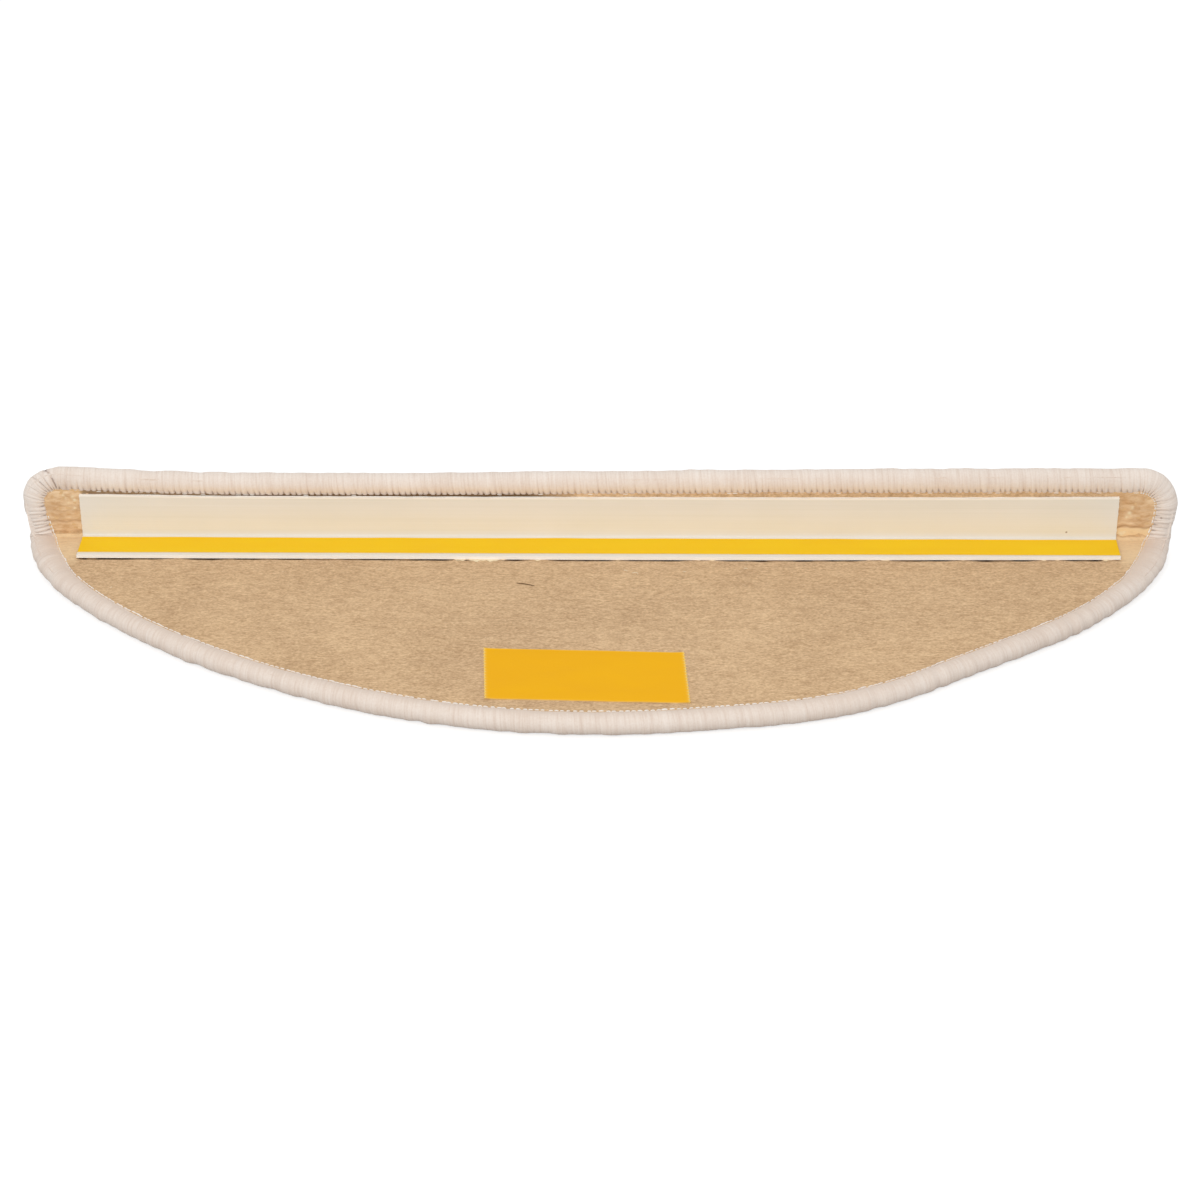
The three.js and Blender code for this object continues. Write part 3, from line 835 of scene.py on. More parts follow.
def leg_gap(x, run):
    """A furrow in the felt along the lower leg's front edge, absent where glue was pressed out."""
    past = before_leg(x, run)
    furrow = ramp(past, -1.5 * MM, -0.4 * MM) * ramp(past, 2.6 * MM, 1.2 * MM)
    uneven = 0.85 + 0.12 * spread_waves(x, 0 * x, 60 * MM, 12 * MM, count=10, seed=75)
    return 0.78 * MM * furrow * at_angle(x) * uneven * (1 - 0.9 * pressed_out(x)[1])


def crease_depth(x, run, size):
    """Creases in the soaked flap, level with the fold: narrow bells at a few heights that wander along x."""
    total = np.zeros(np.shape(x))
    for side, height, depth in FLAP_CREASES:
        wander = 0.5 * np.sin(x / (3.1 * MM) + height) + 0.35 * np.sin(x / (1.3 * MM) + 2 * height)
        line = bell(run - RUN_TO_FLAT, (height + wander) * MM, 0.75 * MM)
        total = total + np.where(x * side > 0, depth * line, 0)
    return size * total


def felt_shell(settings, crease):
    """The felt: its open face swells gently in waves, is creased where glue has soaked in and has a furrow
    along the lower leg. Rows and columns lie closer at the furrow, above the fold and near the ends."""
    spans = edge_spans(CUT_INSET)
    left, right = spans[2:]

    def face(x, run):
        swell = settings.unevenness * spread_waves(x, run, 70 * MM, 9 * MM, count=20, seed=5, squash=1.6)
        swell = swell * np.clip(np.abs(run) / (12 * MM), 0.2, 1) * np.where(run > 0, 0.3, 1)
        fine = spread_waves(x, run, 6 * MM, 2 * MM, count=16, seed=8, squash=2.0)
        wrinkle = soaked(x, run) * (crease_depth(x, run, crease) - 0.12 * MM * fine)
        return np.clip(swell + wrinkle, -0.08 * MM, 0.9 * MM) + leg_gap(x, run)

    ends, tip = 42 * MM, 6 * MM
    near = np.arange(0, ends, 0.9 * MM)[::-1]
    near = near[near > tip]
    tips = tip * (1 - (np.arange(0, 11) / 10)) ** 2
    middle = columns_between(left + ends, right - ends, 3.2 * MM, 3 * MM)
    x = np.unique(np.concatenate([left + tips, left + near, middle, right - near, right - tips]))
    furrow = np.append(np.arange(-1.6, 2.9, 0.3), [3.5, 4.4, 5.4]) * MM - (LEG + RUN_TO_FLAT)
    tread = np.arange(FRONT_RUN, -NEAR_FOLD, 3.4 * MM)
    tread = tread[(tread < furrow[0] - MM) | (tread > furrow[-1] + MM)]
    flap = np.arange(-NEAR_FOLD, TOP_RUN, 0.75 * MM)
    rows = np.concatenate([np.sort(np.concatenate([tread, furrow])), flap])
    bend = np.arange(-5 * MM, 6 * MM, 1 * MM)
    back = np.concatenate([np.linspace(FRONT_RUN, -NEAR_FOLD, 12), bend, [20 * MM, TOP_RUN]])
    return layer(spans, x, rows, back, face, {"soaked": soaked, "faded": faded, "gap_shade": gap_shade})


def pile_shells():
    """The pile: full height up to the binding, with loops as a product of two cosines at the fold and gentle
    waves elsewhere, and a pressed lip, a ring of four-cornered section, inside the binding."""
    inner = BITE + 0.15 * MM
    spans = edge_spans(inner, 1.0)
    dense_from = -8 * MM

    def face(x, run):
        loops = np.cos(2 * math.pi * x / LOOP_PITCH) * np.cos(2 * math.pi * run / LOOP_PITCH)
        dense = ramp(run, dense_from, dense_from / 2)
        swell = spread_waves(x, run, 60 * MM, 9 * MM, count=16, seed=21)
        return MAT - 0.25 * MM + 0.22 * MM * loops * dense - 0.1 * MM * swell * (1 - dense)

    x = columns_between(*spans[2:], 1.1 * MM)
    rows = [np.arange(FRONT_RUN, dense_from, 4 * MM), np.arange(dense_from, TOP_RUN, 1.1 * MM)]
    back = [np.linspace(FRONT_RUN, -NEAR_FOLD, 6), np.arange(-5 * MM, 6 * MM, 1.25 * MM), [TOP_RUN]]
    full = layer(spans, x, np.concatenate(rows), np.concatenate(back), face)
    way = np.linspace(0, 1, 601)[:, None]
    inside = inner + 0.2 * MM
    inset = np.array([[CUT_INSET, inside, inside, CUT_INSET, CUT_INSET]])
    depth = FELT + PRESSED_PILE * np.array([[0, 0, 1, 1, 0]])
    lip = ring_shell(folded(*at_edge(way % 1, inset, inset > BITE), depth))
    return [full, lip]


def roll_creases():
    """Creases across the roll, each a way, a depth, a half width and a tilt, the distance along the edge by
    which its end on the inner line lies ahead: at the flap's corners, and where the roll is pinched at the
    fold."""
    found = [(corner_way(side, angle), *rest) for side, angle, *rest in CORNER_CREASES]
    return found + [(side_way(side, run * MM), depth, 0.5, 0.0) for side, run, depth in FOLD_CREASES]


def turn_count(settings):
    """Turns of yarn round the edge, an even number."""
    return 2 * round(PERIMETER / settings.turn_pitch / 2)


def turn_bounds(turns):
    """Where each turn of yarn begins, counted in turns, with a seeded jitter that closes on itself."""
    jitter = np.random.default_rng(17).normal(0, 0.09, turns + 1)
    jitter[-1] = jitter[0] = 0
    return np.arange(turns + 1) + jitter


def yarn_rows(settings):
    """The rows along the turns of yarn. For each row, as columns: its place counted in turns and as a way,
    its turn's swell and tone, its bulge, which is a half circle between the turn's two grooves, and the depth
    and bite of the groove, which go in a straight line from one groove to the next."""
    turns = turn_count(settings)
    bounds = turn_bounds(turns)
    dice = np.random.default_rng(23)
    swell = dice.normal(0, 0.035 * MM, turns)
    tones = dice.normal(0, 0.05, turns)
    odd = np.arange(turns + 1) % 2
    depths = settings.groove * np.where(odd, 0.55, 1) * dice.uniform(0.65, 1.3, turns + 1)
    bites = dice.uniform(0.3, 1.25, turns + 1)
    depths[-1], bites[-1] = depths[0], bites[0]
    turn = np.append(np.repeat(np.arange(turns), TURN_STEPS), 0)
    share = np.append(np.tile(np.arange(TURN_STEPS) / TURN_STEPS, turns), 0.0)
    count = bounds[turn] + share * (bounds[turn + 1] - bounds[turn])
    count[-1] = turns
    bulge = np.sqrt(np.maximum(1 - (2 * share - 1) ** 2, 0))
    groove, bite = (table[turn] * (1 - share) + table[turn + 1] * share for table in (depths, bites))
    return [row[:, None] for row in (count, count / turns, swell[turn], tones[turn], bulge, groove, bite)]


def round_roll(rows, line, skin, *inside):
    """A grid whose columns go round the roll: the inner line on the felt, the skin over the roll to the pile,
    and four places back inside it."""
    line, *inside = (np.broadcast_to(part, (rows, 1)) for part in (line, *inside))
    return np.concatenate([line, np.broadcast_to(skin, (rows, SKIN_POINTS)), *inside], 1)


def binding_shell(settings):
    """The whipped roll. A turn bulges as a half circle between its two grooves; the roll's radius wanders
    along the edge in whole waves, dips as a bell in each crease and is pinched at the fold and the left
    corner. At the inner line each turn's end reaches in, and two turns leave a notch between them."""
    count, base, swell, tone, bulge, groove, bite = yarn_rows(settings)
    rows = len(base)
    phi = np.radians(np.linspace(*SKIN_DEGREES, SKIN_POINTS))[None, :]
    across = np.linspace(INNER_LINE, 1 - INNER_LINE, SKIN_POINTS)[None, :]
    way = base + settings.slant * (1 - (1 - across) ** 1.7) / PERIMETER
    on_flap = ramp(np.interp(base, WAYS, EDGE[:, 1], period=1), -2 * MM, 6 * MM)
    outwards = np.clip(-np.cos(phi - 0.35), 0, 1)

    rough = 0.35 + 0.4 * (1 - on_flap) * np.clip(across / 0.5, 0, 1)
    waves = ripple(way, 6, 70, seed=31) * 0.7 + ripple(way, 60, 190, seed=33) * rough
    on_tread = bell(across, 0.68, 0.17)
    smooth = 0.3 + 0.7 * np.where(on_flap > 0.5, bell(across, INNER_LINE, 0.3), on_tread)
    deep = smooth * (0.7 + 0.5 * np.abs(np.cos(phi / 2 + 0.3)))
    deep = deep + 4.5 * bell(across, INNER_LINE, 0.13) * on_flap
    radius = ROLL / 2 + settings.waviness * waves + swell * bulge - groove * deep * (1 - bulge)
    # where the roll is pinched: its way, half width and depth in millimetres
    pinches = (
        (side_way(-1, 9.5 * MM), 6.5, 2.3),
        (side_way(1, 9.0 * MM), 6.0, 0.7),
        (corner_way(-1, 74), 9.0, 1.3),
        (corner_way(-1, 8), 8.0, 0.8),
    )
    for middle, width, dip in pinches:
        radius = radius - dip * MM * bell(way_from(way, middle), 0, width * MM) * outwards
    # dark gathers painted shade for the roll's creases
    dark = np.zeros_like(radius)
    for middle, dip, width, tilt in roll_creases():
        bend = 0.4 * MM * np.sin(3.0 * phi + middle * 90) + tilt * MM * (1 - across / 0.55)
        crease = bell(way_from(way, middle), -bend, width * MM)
        radius = radius - dip * MM * crease * (0.95 - 0.7 * outwards) * (1 - bell(across, 0, 0.1))
        dark = np.maximum(dark, crease**2 * min(dip / 1.1, 0.9))

    inset = ROLL / 2 + radius * np.cos(phi)
    depth = np.minimum(ROLL_DEPTH - radius * np.sin(phi), np.where(phi < QUARTER, -0.12 * MM, MAT))
    line = TURN_END - (1 - bulge) * bite * (0.06 + 0.54 * on_flap) * MM
    end = base + settings.slant / PERIMETER
    insets = round_roll(rows, line, inset, BITE, EDGE_WALL, EDGE_WALL, line)
    inside = MAT - 0.8 * MM, FELT + PRESSED_PILE + 0.6 * MM, -0.15 * MM, 0.1 * MM
    depths = round_roll(rows, 0.1 * MM, depth, *inside)
    ways = round_roll(rows, base, way, end, end, base, base)
    wider = np.clip(insets / BITE, 0, 1) * (insets != EDGE_WALL)
    points = folded(*at_edge(ways % 1, insets, wider), depths)

    # painted shade in the notches between turns along the flap's inner line
    inner_line_shade = np.clip(on_flap * (1 - bulge) * bite * 1.3, 0, 1)
    # painted shade in the grooves, and along the lower part of the tread's roll
    groove_and_edge_shade = np.clip((1 - bulge) * groove / (0.3 * MM), 0, 1) * smooth
    groove_and_edge_shade = groove_and_edge_shade + 0.55 * (1 - on_flap) * bell(across, 0.76, 0.1) * (1.2 - bulge)
    # the notch mark is painted shade: these notches and the roll's creases
    notch = np.maximum(inner_line_shade * bell(across, INNER_LINE, 0.055), dark * (1 - 0.55 * outwards))
    # painted highlight in a band along the middle of the tread's roll and painted shade near its inner line;
    # the tread's roll is also darker overall
    bands = np.pad(0.5 * bell(across, 0.4, 0.12) - 0.9 * bell(across, 0.1, 0.14), ((0, 0), (1, 4)))
    # painted light: the roll at the flap's sides is brightened
    sides = ramp(np.abs(points[..., 0]), 303 * MM, 311 * MM) * on_flap
    stain = 0.9 * bell(way_from(way, corner_way(-1, 69.5)), 0, 1.2 * MM) * bell(phi, 3.2, 0.35)
    marks = {
        "groove": round_roll(rows, 0, groove_and_edge_shade, 0.5, 0, 0, 0),
        "shade": tone + (bands - 0.9) * (1 - on_flap) + 0.6 * sides,
        "stain": round_roll(rows, 0, stain, 0, 0, 0, 0),
        "notch": round_roll(rows, np.maximum(inner_line_shade, 0.5 * on_flap), notch, 0.3, 0, 0, inner_line_shade),
    }
    uv = np.broadcast_arrays(count, round_roll(rows, 0, 9 * across, 9, 10, 11, 12))
    return ring_shell(points, marks, np.stack(uv, -1))


def stitch_shell(settings):
    """Small loops of yarn along the inner line, one to a turn: each a short tube whose radius is a power of a
    half circle along it and whose ends dive into the felt by a parabola."""
    turns = turn_count(settings)
    dice = np.random.default_rng(41)

    def uneven(spread, limit):
        return spread * dice.normal(0, 1, turns).clip(-limit, limit)

    middle = (turn_bounds(turns)[:-1] + 0.5 + dice.normal(0, 0.06, turns)) / turns
    x, run = at_edge(middle, 0.0)
    on_flap = np.clip(run / (6 * MM), 0, 1)
    top = on_flap * ((np.abs(x) < WIDTH / 2 - CORNER_RADIUS) | ((x < 0) & (run > 17 * MM)))
    frayed = dice.random(turns) < 0.12
    frayed |= (np.abs(run - 2 * MM) < 11 * MM) & (dice.random(turns) < 0.8)
    apart = ramp(np.abs(x), 70 * MM, 130 * MM) * (1 - on_flap)
    length = (2.85 + 0.9 * apart + uneven(0.2, 1.5)) * MM * np.where(frayed, 1.2, 1)
    thick = (0.36 + uneven(0.03, 1.5)) * MM * np.where(frayed, 1.3, 1) * (1 - 0.55 * top)
    inset = STITCH_INSET + (uneven(0.03, 2) + 0.25 * frayed - 0.35 * top) * MM
    tilt = dice.normal(0, 0.04, turns) * MM
    # pale sets the stitch loops' painted highlight, and their painted shade on the flap's top edge under the
    # roll
    pale = np.where(frayed, 1.6, 1.5 - 2.5 * top) - np.where(x < 0, 0.7, 1.2) * apart

    each = (value[:, None, None] for value in (middle, length, thick, inset, tilt, pale))
    middle, length, thick, inset, tilt, pale = each
    along = np.linspace(-1, 1, 7)[None, :, None]
    turn = np.linspace(0, 2 * math.pi, 7)[None, None, :]
    ring = thick * np.sqrt(np.maximum(1 - along**2, 0)) ** 0.7
    insets = inset + ring * np.cos(turn) + tilt * along
    depth = 0.25 * MM * along**2 - 0.12 * MM - ring * np.sin(turn)
    way = middle + along * length / 2 / PERIMETER
    points = folded(*at_edge(way % 1, insets, 1.0), depth)
    rows, columns = points.shape[1:3]
    starts = np.arange(turns)[:, None, None] * rows * columns
    faces = (grid_faces(rows, columns)[None] + starts).reshape(-1, 3)
    marks = {"groove": 0 * insets, "shade": pale + 0 * insets}
    uv = np.stack([4 * along + 0 * insets, turn + 0 * insets], -1)
    return shell(points, faces, marks, uv)


def angle_shell():
    """The angle: two paths through its section, over the inner and the outer faces, carried along x. Each
    face has faint die lines, a seeded offset that is the same all along. The upper leg bows a little in two
    sines, and both free edges follow their tables."""
    dice = np.random.default_rng(51)
    bend = np.linspace(-QUARTER, 0, 9)
    flat = np.linspace(0, 1, 22)[:-1]
    x = np.linspace(-ANGLE_HALF, ANGLE_HALF, 80)[:, None]
    bow = 0.1 * MM * np.sin(x * 11) + 0.05 * MM * np.sin(x * 37 + 1)

    def path(radius, low):
        straight = -LEG + flat * (LEG + FOLD_CENTRE)
        corner = np.stack([FOLD_CENTRE + radius * np.cos(bend), -FOLD_CENTRE + radius * np.sin(bend)], -1)
        first = np.stack([straight, np.full(len(flat), low)], -1)
        return np.concatenate([first, corner, -first[::-1, ::-1]])

    def carried(section):
        y, z = section.T[:, None]
        up = np.clip(z / LEG, 0, 1)
        kept = np.where(y < 0, leg_reach(x) / LEG, 1)
        rise = np.interp(x / MM, *LEG_RISE) * MM
        return np.stack(np.broadcast_arrays(x, y * kept + bow * up, z + rise * up), -1) + CORNER

    inside, outside = path(0.2 * MM, 0.0), path(1.7 * MM, -LEG_WALL)
    place = np.arange(len(inside))
    half = len(inside) / 2
    lines = np.cumsum(dice.normal(0, 0.012, len(inside)))
    lines = (lines - np.linspace(lines[0], lines[-1], len(lines))) * MM * (np.abs(place - half) > 6)
    inside[:, 0] -= lines * (place > half)
    inside[:, 1] += lines * (place <= half)
    # marks for the painted highlight and glow at the cut edges and in the fold
    cut = np.zeros((len(x), len(inside)))
    cut[:, [0, -1]] = 1
    fold = (inside[:, 0] > -3.1 * MM) & (np.abs(inside[:, 1]) < 0.3 * MM)
    return slab(carried(inside), carried(outside), {"cut": cut, "fold": cut * 0 + fold})


def glue_patch(side, size):
    """The glue film beyond one end of the angle: between the fold and the binding's inner line, creased like
    the felt under it, puckered in waves, with bells for its crumbs, and thinning out at its border."""
    x = np.linspace(ANGLE_HALF - 5 * MM, PATCH_END, 84)[:, None]
    high_x, high = edge_spans(BITE + 0.2 * MM, 1.0)[1]
    top = np.interp(side * x, high_x, high) - 0.4 * MM - 0.35 * MM * (1 + np.sin(x / (1.9 * MM)))
    scallops = 0.6 * MM * np.sin(x / (2.3 * MM) + side) + 0.4 * MM * np.sin(x / (1.1 * MM))
    bottom = RUN_TO_FLAT + 0.9 * MM + scallops
    share = np.linspace(0, 1, 66)[None, :]
    run = bottom + share * (top - bottom)
    line_x, line_run = at_edge(WAYS, BITE - 0.1 * MM, 1.0)
    ahead = (line_x * side > ANGLE_HALF) & (line_run > -5 * MM)
    order = np.argsort(line_run[ahead])
    limit = np.interp(run, line_run[ahead][order], np.abs(line_x[ahead])[order])
    wide = side * np.minimum(x, limit)
    border = np.minimum(np.minimum(share, 1 - share) / 0.04, (limit - x) / (1.2 * MM))
    under = x < ANGLE_HALF + 0.4 * MM
    z = run - RUN_TO_FLAT
    crease = crease_depth(wide, run, size)
    puckers = spread_waves(wide, run, 7 * MM, 2.2 * MM, count=26, seed=61, squash=2.2)
    blobs = np.zeros_like(run)
    for spot_x, spot_z, radius, strength in CRUMBS:
        away = np.hypot(wide - spot_x * MM, z - spot_z * MM)
        blobs = np.maximum(blobs, strength * bell(away, 0, radius * MM))
    thin = ramp(z, 6.2 * MM, 5.4 * MM) * (side > 0)
    lift = 0.16 * MM + 0.12 * MM * puckers * (1 - 0.75 * thin) - 0.75 * crease + 0.3 * MM * blobs
    lift = np.where(under, 0.05 * MM, np.clip(lift, 0.03 * MM, 0.75 * MM)) * np.clip(border, 0, 1)
    # the crease mark carries the painted shade in the creases
    marks = {"crease": np.clip(crease / (0.5 * MM), 0, 1) * ~under, "pale": blobs, "thin": thin}
    return slab(folded(wide, run, -lift - 0.01 * MM), folded(wide, run, 0.6 * MM), marks)


def glue_under_shell():
    """The film under the angle: a layer that follows the fold. Its front edge wanders in waves, mostly stays
    back under the leg, where the felt shows a dark line that is partly painted shade, and comes out in a few
    ragged patches."""
    x = np.linspace(-ANGLE_HALF + 0.4 * MM, ANGLE_HALF - 0.4 * MM, 700)
    reach, pale = pressed_out(x)
    ragged = 1 + 0.25 * np.sin(x / (1.4 * MM)) + 0.15 * np.sin(x / (0.6 * MM) + 1)
    wander = spread_waves(x, 0 * x, 40 * MM, 5 * MM, count=12, seed=71)
    front = -1.8 * MM + 0.25 * MM * wander + reach * ragged
    start = -(leg_reach(x) + front + RUN_TO_FLAT)
    steps = np.concatenate([[0, 0.25, 0.5, 0.75, 1.0, 1.6, 2.4, 3.2, 5.0], np.linspace(8, 20, 4)]) * MM
    rest = np.append(np.linspace(-FOLD_RUN / 2, FOLD_RUN / 2, 9), LEG - 1 * MM + RUN_TO_FLAT)
    run = np.concatenate([start[:, None] + steps, np.broadcast_to(rest, (len(x), len(rest)))], 1)
    wide = x[:, None] + 0 * run
    out_of_leg = ramp(before_leg(wide, run), 0, -0.6 * MM)
    swell = 1 + 0.35 * np.sin(wide / (1.7 * MM)) + 0.2 * np.sin(wide / (0.7 * MM) + 2)
    height = np.where(out_of_leg > 0, 0.16 * MM * swell + 0.1 * MM * (1 - out_of_leg), GLUE)
    height[:, :2] *= (0.1, 0.7)
    marks = {"crease": 0 * run, "pale": pale[:, None] * np.clip(out_of_leg + 0.2, 0, 1), "thin": 0 * run}
    return slab(folded(wide, run, -height), folded(wide, run, 0.05 * MM), marks)


def strip_shell():
    """The narrow liner: a thin slab whose long edges wander and whose face lifts a little, both in waves."""
    x = np.linspace(-ANGLE_HALF + 0.3 * MM, ANGLE_HALF - 0.2 * MM, 240)[:, None]
    wave = 0.12 * MM * spread_waves(x, 0 * x, 160 * MM, 25 * MM, count=8, seed=81)
    share = np.linspace(0, 1, 9)[None, :]
    y = -STRIP_FROM_CORNER - STRIP_WIDTH * (1 - share) + wave * 0.6 + 0.15 * MM * share * np.sin(x * 9)
    lift = 0.04 * MM * spread_waves(x + 0 * share, y, 60 * MM, 12 * MM, count=12, seed=82, squash=2)
    top = TAPE + LINER + np.maximum(lift, -0.03 * MM)
    faces = (np.stack(np.broadcast_arrays(x, y, z), -1) + CORNER for z in (top, TAPE + 0.01 * MM))
    return slab(*faces)


def pad_shell():
    """The wide liner: its rows run across the tape through the points and roots of the cutter's teeth on both
    ends, a zigzag of seeded depth, and its corners lift as a square."""
    rows = 4 * TEETH
    v = np.linspace(-0.5, 0.5, rows + 1)[None, :]
    dice = np.random.default_rng(91)
    even = np.linspace(-1, 1, 61)[:, None]
    u = np.sign(even) * (1 - (1 - np.abs(even)) ** 1.6)
    phase = np.arange(rows + 1) / 2
    zigzag = TOOTH_DEPTH * (0.5 - np.abs((phase % 2) - 1)) * dice.uniform(0.7, 1.2, rows + 1)
    y = v * PAD_WIDTH
    end = PAD_LENGTH / 2
    x = u * (end + zigzag[None, :] * np.sign(u)) + y * math.tan(PAD_END_SKEW)
    y = y + 0.12 * MM * np.sin(u * 5 + 1) * np.sign(v) * (np.abs(v) > 0.49)
    corner = np.clip(np.abs(u) - 0.86, 0, 1) / 0.14 * np.clip(np.abs(v) * 2 - 0.7, 0, 1) / 0.3
    lift = 0.05 * MM * spread_waves(x, y, 50 * MM, 12 * MM, count=12, seed=92) + 0.35 * MM * corner**2
    top = TAPE + LINER + np.maximum(lift, -0.04 * MM)
    c, s = math.cos(PAD_TURN), math.sin(PAD_TURN)
    move = np.array([PAD_OFFSET, -TREAD + BITE + PAD_FROM_BINDING + PAD_WIDTH / 2, -FELT_FACE]) + CORNER
    above, below = (np.stack([c * x - s * y, s * x + c * y, z], -1) + move for z in (top, top - LINER * 0.9))
    away = (1 - np.abs(u)) * end
    side = (0.5 - np.abs(v)) * PAD_WIDTH
    fringe = np.exp(-away / (0.45 * MM)) + 0.35 * np.exp(-side / (0.3 * MM))
    return slab(above, below, {"fringe": np.clip(fringe, 0, 1)})


def fibre(start, middle, end, radius):
    """A fibre lying on the felt: a tube along a parabola through three points' pull, round in section,
    swelling from nothing to its radius and back by a power of a sine."""
    share = np.linspace(0, 1, 12)[:, None]
    a, b, c = (np.array(p) * MM + CORNER for p in (start, middle, end))
    path = a * (1 - share) ** 2 + 2 * b * share * (1 - share) + c * share**2
    thick = radius * MM * np.sin(math.pi * share[:, 0]) ** 0.35
    thick[[0, -1]] = 0
    along = np.gradient(path, axis=0)
    along /= np.linalg.norm(along, axis=1)[:, None]
    across = np.cross(along, [0.0, 0.0, 1.0]) + 1e-9
    across /= np.linalg.norm(across, axis=1)[:, None]
    turn = np.linspace(0, 2 * math.pi, 9)[None, :, None]
    spokes = across[:, None] * np.cos(turn) + np.cross(across, along)[:, None] * np.sin(turn)
    return ring_shell(path[:, None] + spokes * thick[:, None, None])


# Operators


def dress(made, finish, slot, *nodes):
    """Gives a piece its finish, hangs it under the root body and hides the solids that it stands for; slot is
    not used.
    """
    finish.on(made)
    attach(made, "root")
    if nodes:
        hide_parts(*nodes)
    return made


def flat_area(inset):
    """The area inside a line at an inset, before folding, from the sum over its edges."""
    x, run = at_edge(WAYS, inset)
    return float(abs(np.sum(x * np.roll(run, -1) - run * np.roll(x, -1))) / 2)


def flat_size(inset):
    """Width and length of the unfolded outline at an inset."""
    x, run = at_edge(WAYS, inset)
    return float(np.ptp(x)), float(np.ptp(run))


class TREADMAT_OT_felt(bpy.types.Operator):
    """Makes the needled felt with its glue-soaked ends."""

    bl_idname = "tread_mat.felt"
    bl_label = "Felt back"

    def execute(self, context):
        settings = context.scene.tread_mat_felt
        made = piece("felt_back", [felt_shell(settings, context.scene.tread_mat_glue.crease)])
        dress(made, felt_finish(settings), "felt", "backing_felt")
        flat_size(CUT_INSET)
        flat_area(CUT_INSET)
        return {"FINISHED"}


class TREADMAT_OT_pile(bpy.types.Operator):
    """Makes the loop pile on the walking face."""

    bl_idname = "tread_mat.pile"
    bl_label = "Loop pile"

    def execute(self, context):
        made = piece("loop_pile", pile_shells())
        dress(made, pile_finish(context.scene.tread_mat_pile), "pile", "pile_carpet")
        flat_size(CUT_INSET)
        flat_area(CUT_INSET)
        return {"FINISHED"}


class TREADMAT_OT_binding(bpy.types.Operator):
    """Makes the whipped yarn binding and the small loops along its inner line."""

    bl_idname = "tread_mat.binding"
    bl_label = "Yarn binding"

    def execute(self, context):
        settings = context.scene.tread_mat_binding
        roll = piece("yarn_binding", [binding_shell(settings)], 60)
        dress(roll, yarn_finish("binding_yarn", settings), "yarn", "edge_binding")
        loops = piece("edge_stitches", [stitch_shell(settings)], 80)
        dress(loops, yarn_finish("stitch_yarn", settings, True), "yarn")
        return {"FINISHED"}


class TREADMAT_OT_angle(bpy.types.Operator):
    """Makes the extruded plastic angle."""

    bl_idname = "tread_mat.angle"
    bl_label = "Nosing angle"

    def execute(self, context):
        settings = context.scene.tread_mat_plastic
        made = piece("nosing_profile", [angle_shell()], 35)
        bevel = made.modifiers.new("rounded_edges", "BEVEL")
        bevel.width, bevel.segments, bevel.limit_method = settings.rounding, 3, "ANGLE"
        bevel.angle_limit = math.radians(50)
        dress(made, plastic_finish(settings), "plastic", "nosing_angle")
        return {"FINISHED"}


class TREADMAT_OT_glue(bpy.types.Operator):
    """Makes the glue film under the angle and beyond its ends."""

    bl_idname = "tread_mat.glue"
    bl_label = "Glue film"

    def execute(self, context):
        settings = context.scene.tread_mat_glue
        shells = [glue_under_shell(), glue_patch(-1, settings.crease), glue_patch(1, settings.crease)]
        dress(piece("glue_film", shells, 60), glue_finish(settings), "glue", "angle_glue")
        return {"FINISHED"}


class TREADMAT_OT_tapes(bpy.types.Operator):
    """Makes both release liners and finishes the sticky layers under them."""

    bl_idname = "tread_mat.tapes"
    bl_label = "Tapes"

    def execute(self, context):
        settings = context.scene.tread_mat_tapes
        strip = piece("strip_liner_paper", [strip_shell()])
        dress(strip, liner_finish("strip_paper", settings.strip, settings.strip_deep), "liner", "strip_liner")
        pad = piece("pad_liner_paper", [pad_shell()])
        dress(pad, liner_finish("pad_paper", settings.pad, settings.pad_deep, True), "liner", "pad_liner")
        finish = tape_finish()
        for name in ("strip_adhesive", "pad_adhesive"):
            finish.on(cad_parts[name])
        return {"FINISHED"}


class TREADMAT_OT_fibres(bpy.types.Operator):
    """Lays a dark hair and a few pale fibres on the felt, where the mat shows them."""

    bl_idname = "tread_mat.fibres"
    bl_label = "Fibres on the felt"

    def execute(self, context):
        hair, pale = fibre(*HAIR), [fibre(*path) for path in PALE_FIBRES]
        dress(piece("dark_hair", [hair]), plain_finish("dark_hair", srgb(112, 82, 46), 0.5), "felt")
        dress(piece("pale_fibres", pale), plain_finish("pale_fibres", srgb(246, 226, 192), 0.6), "felt")
        return {"FINISHED"}


class TREADMAT_OT_stage(bpy.types.Operator):
    """Makes the pale floor, the soft light and the camera."""

    bl_idname = "tread_mat.stage"
    bl_label = "Stage"

    def execute(self, context):
        settings = context.scene.tread_mat_stage
        floor = flat_floor(settings)
        key_lamp(settings.key)
        world_light(settings.sky)
        photo_camera(settings.lens)
        return {"FINISHED"}


def for_camera(tree, others, seen, out):
    """Gives one shader to the camera's own rays and another to all other rays."""
    path, mixed = tree.nodes.new("ShaderNodeLightPath"), tree.nodes.new("ShaderNodeMixShader")
    tree.links.new(path.outputs["Is Camera Ray"], mixed.inputs[0])
    tree.links.new(others.outputs[0], mixed.inputs[1])
    tree.links.new(seen.outputs[0], mixed.inputs[2])
    tree.links.new(mixed.outputs[0], out.inputs["Surface"])


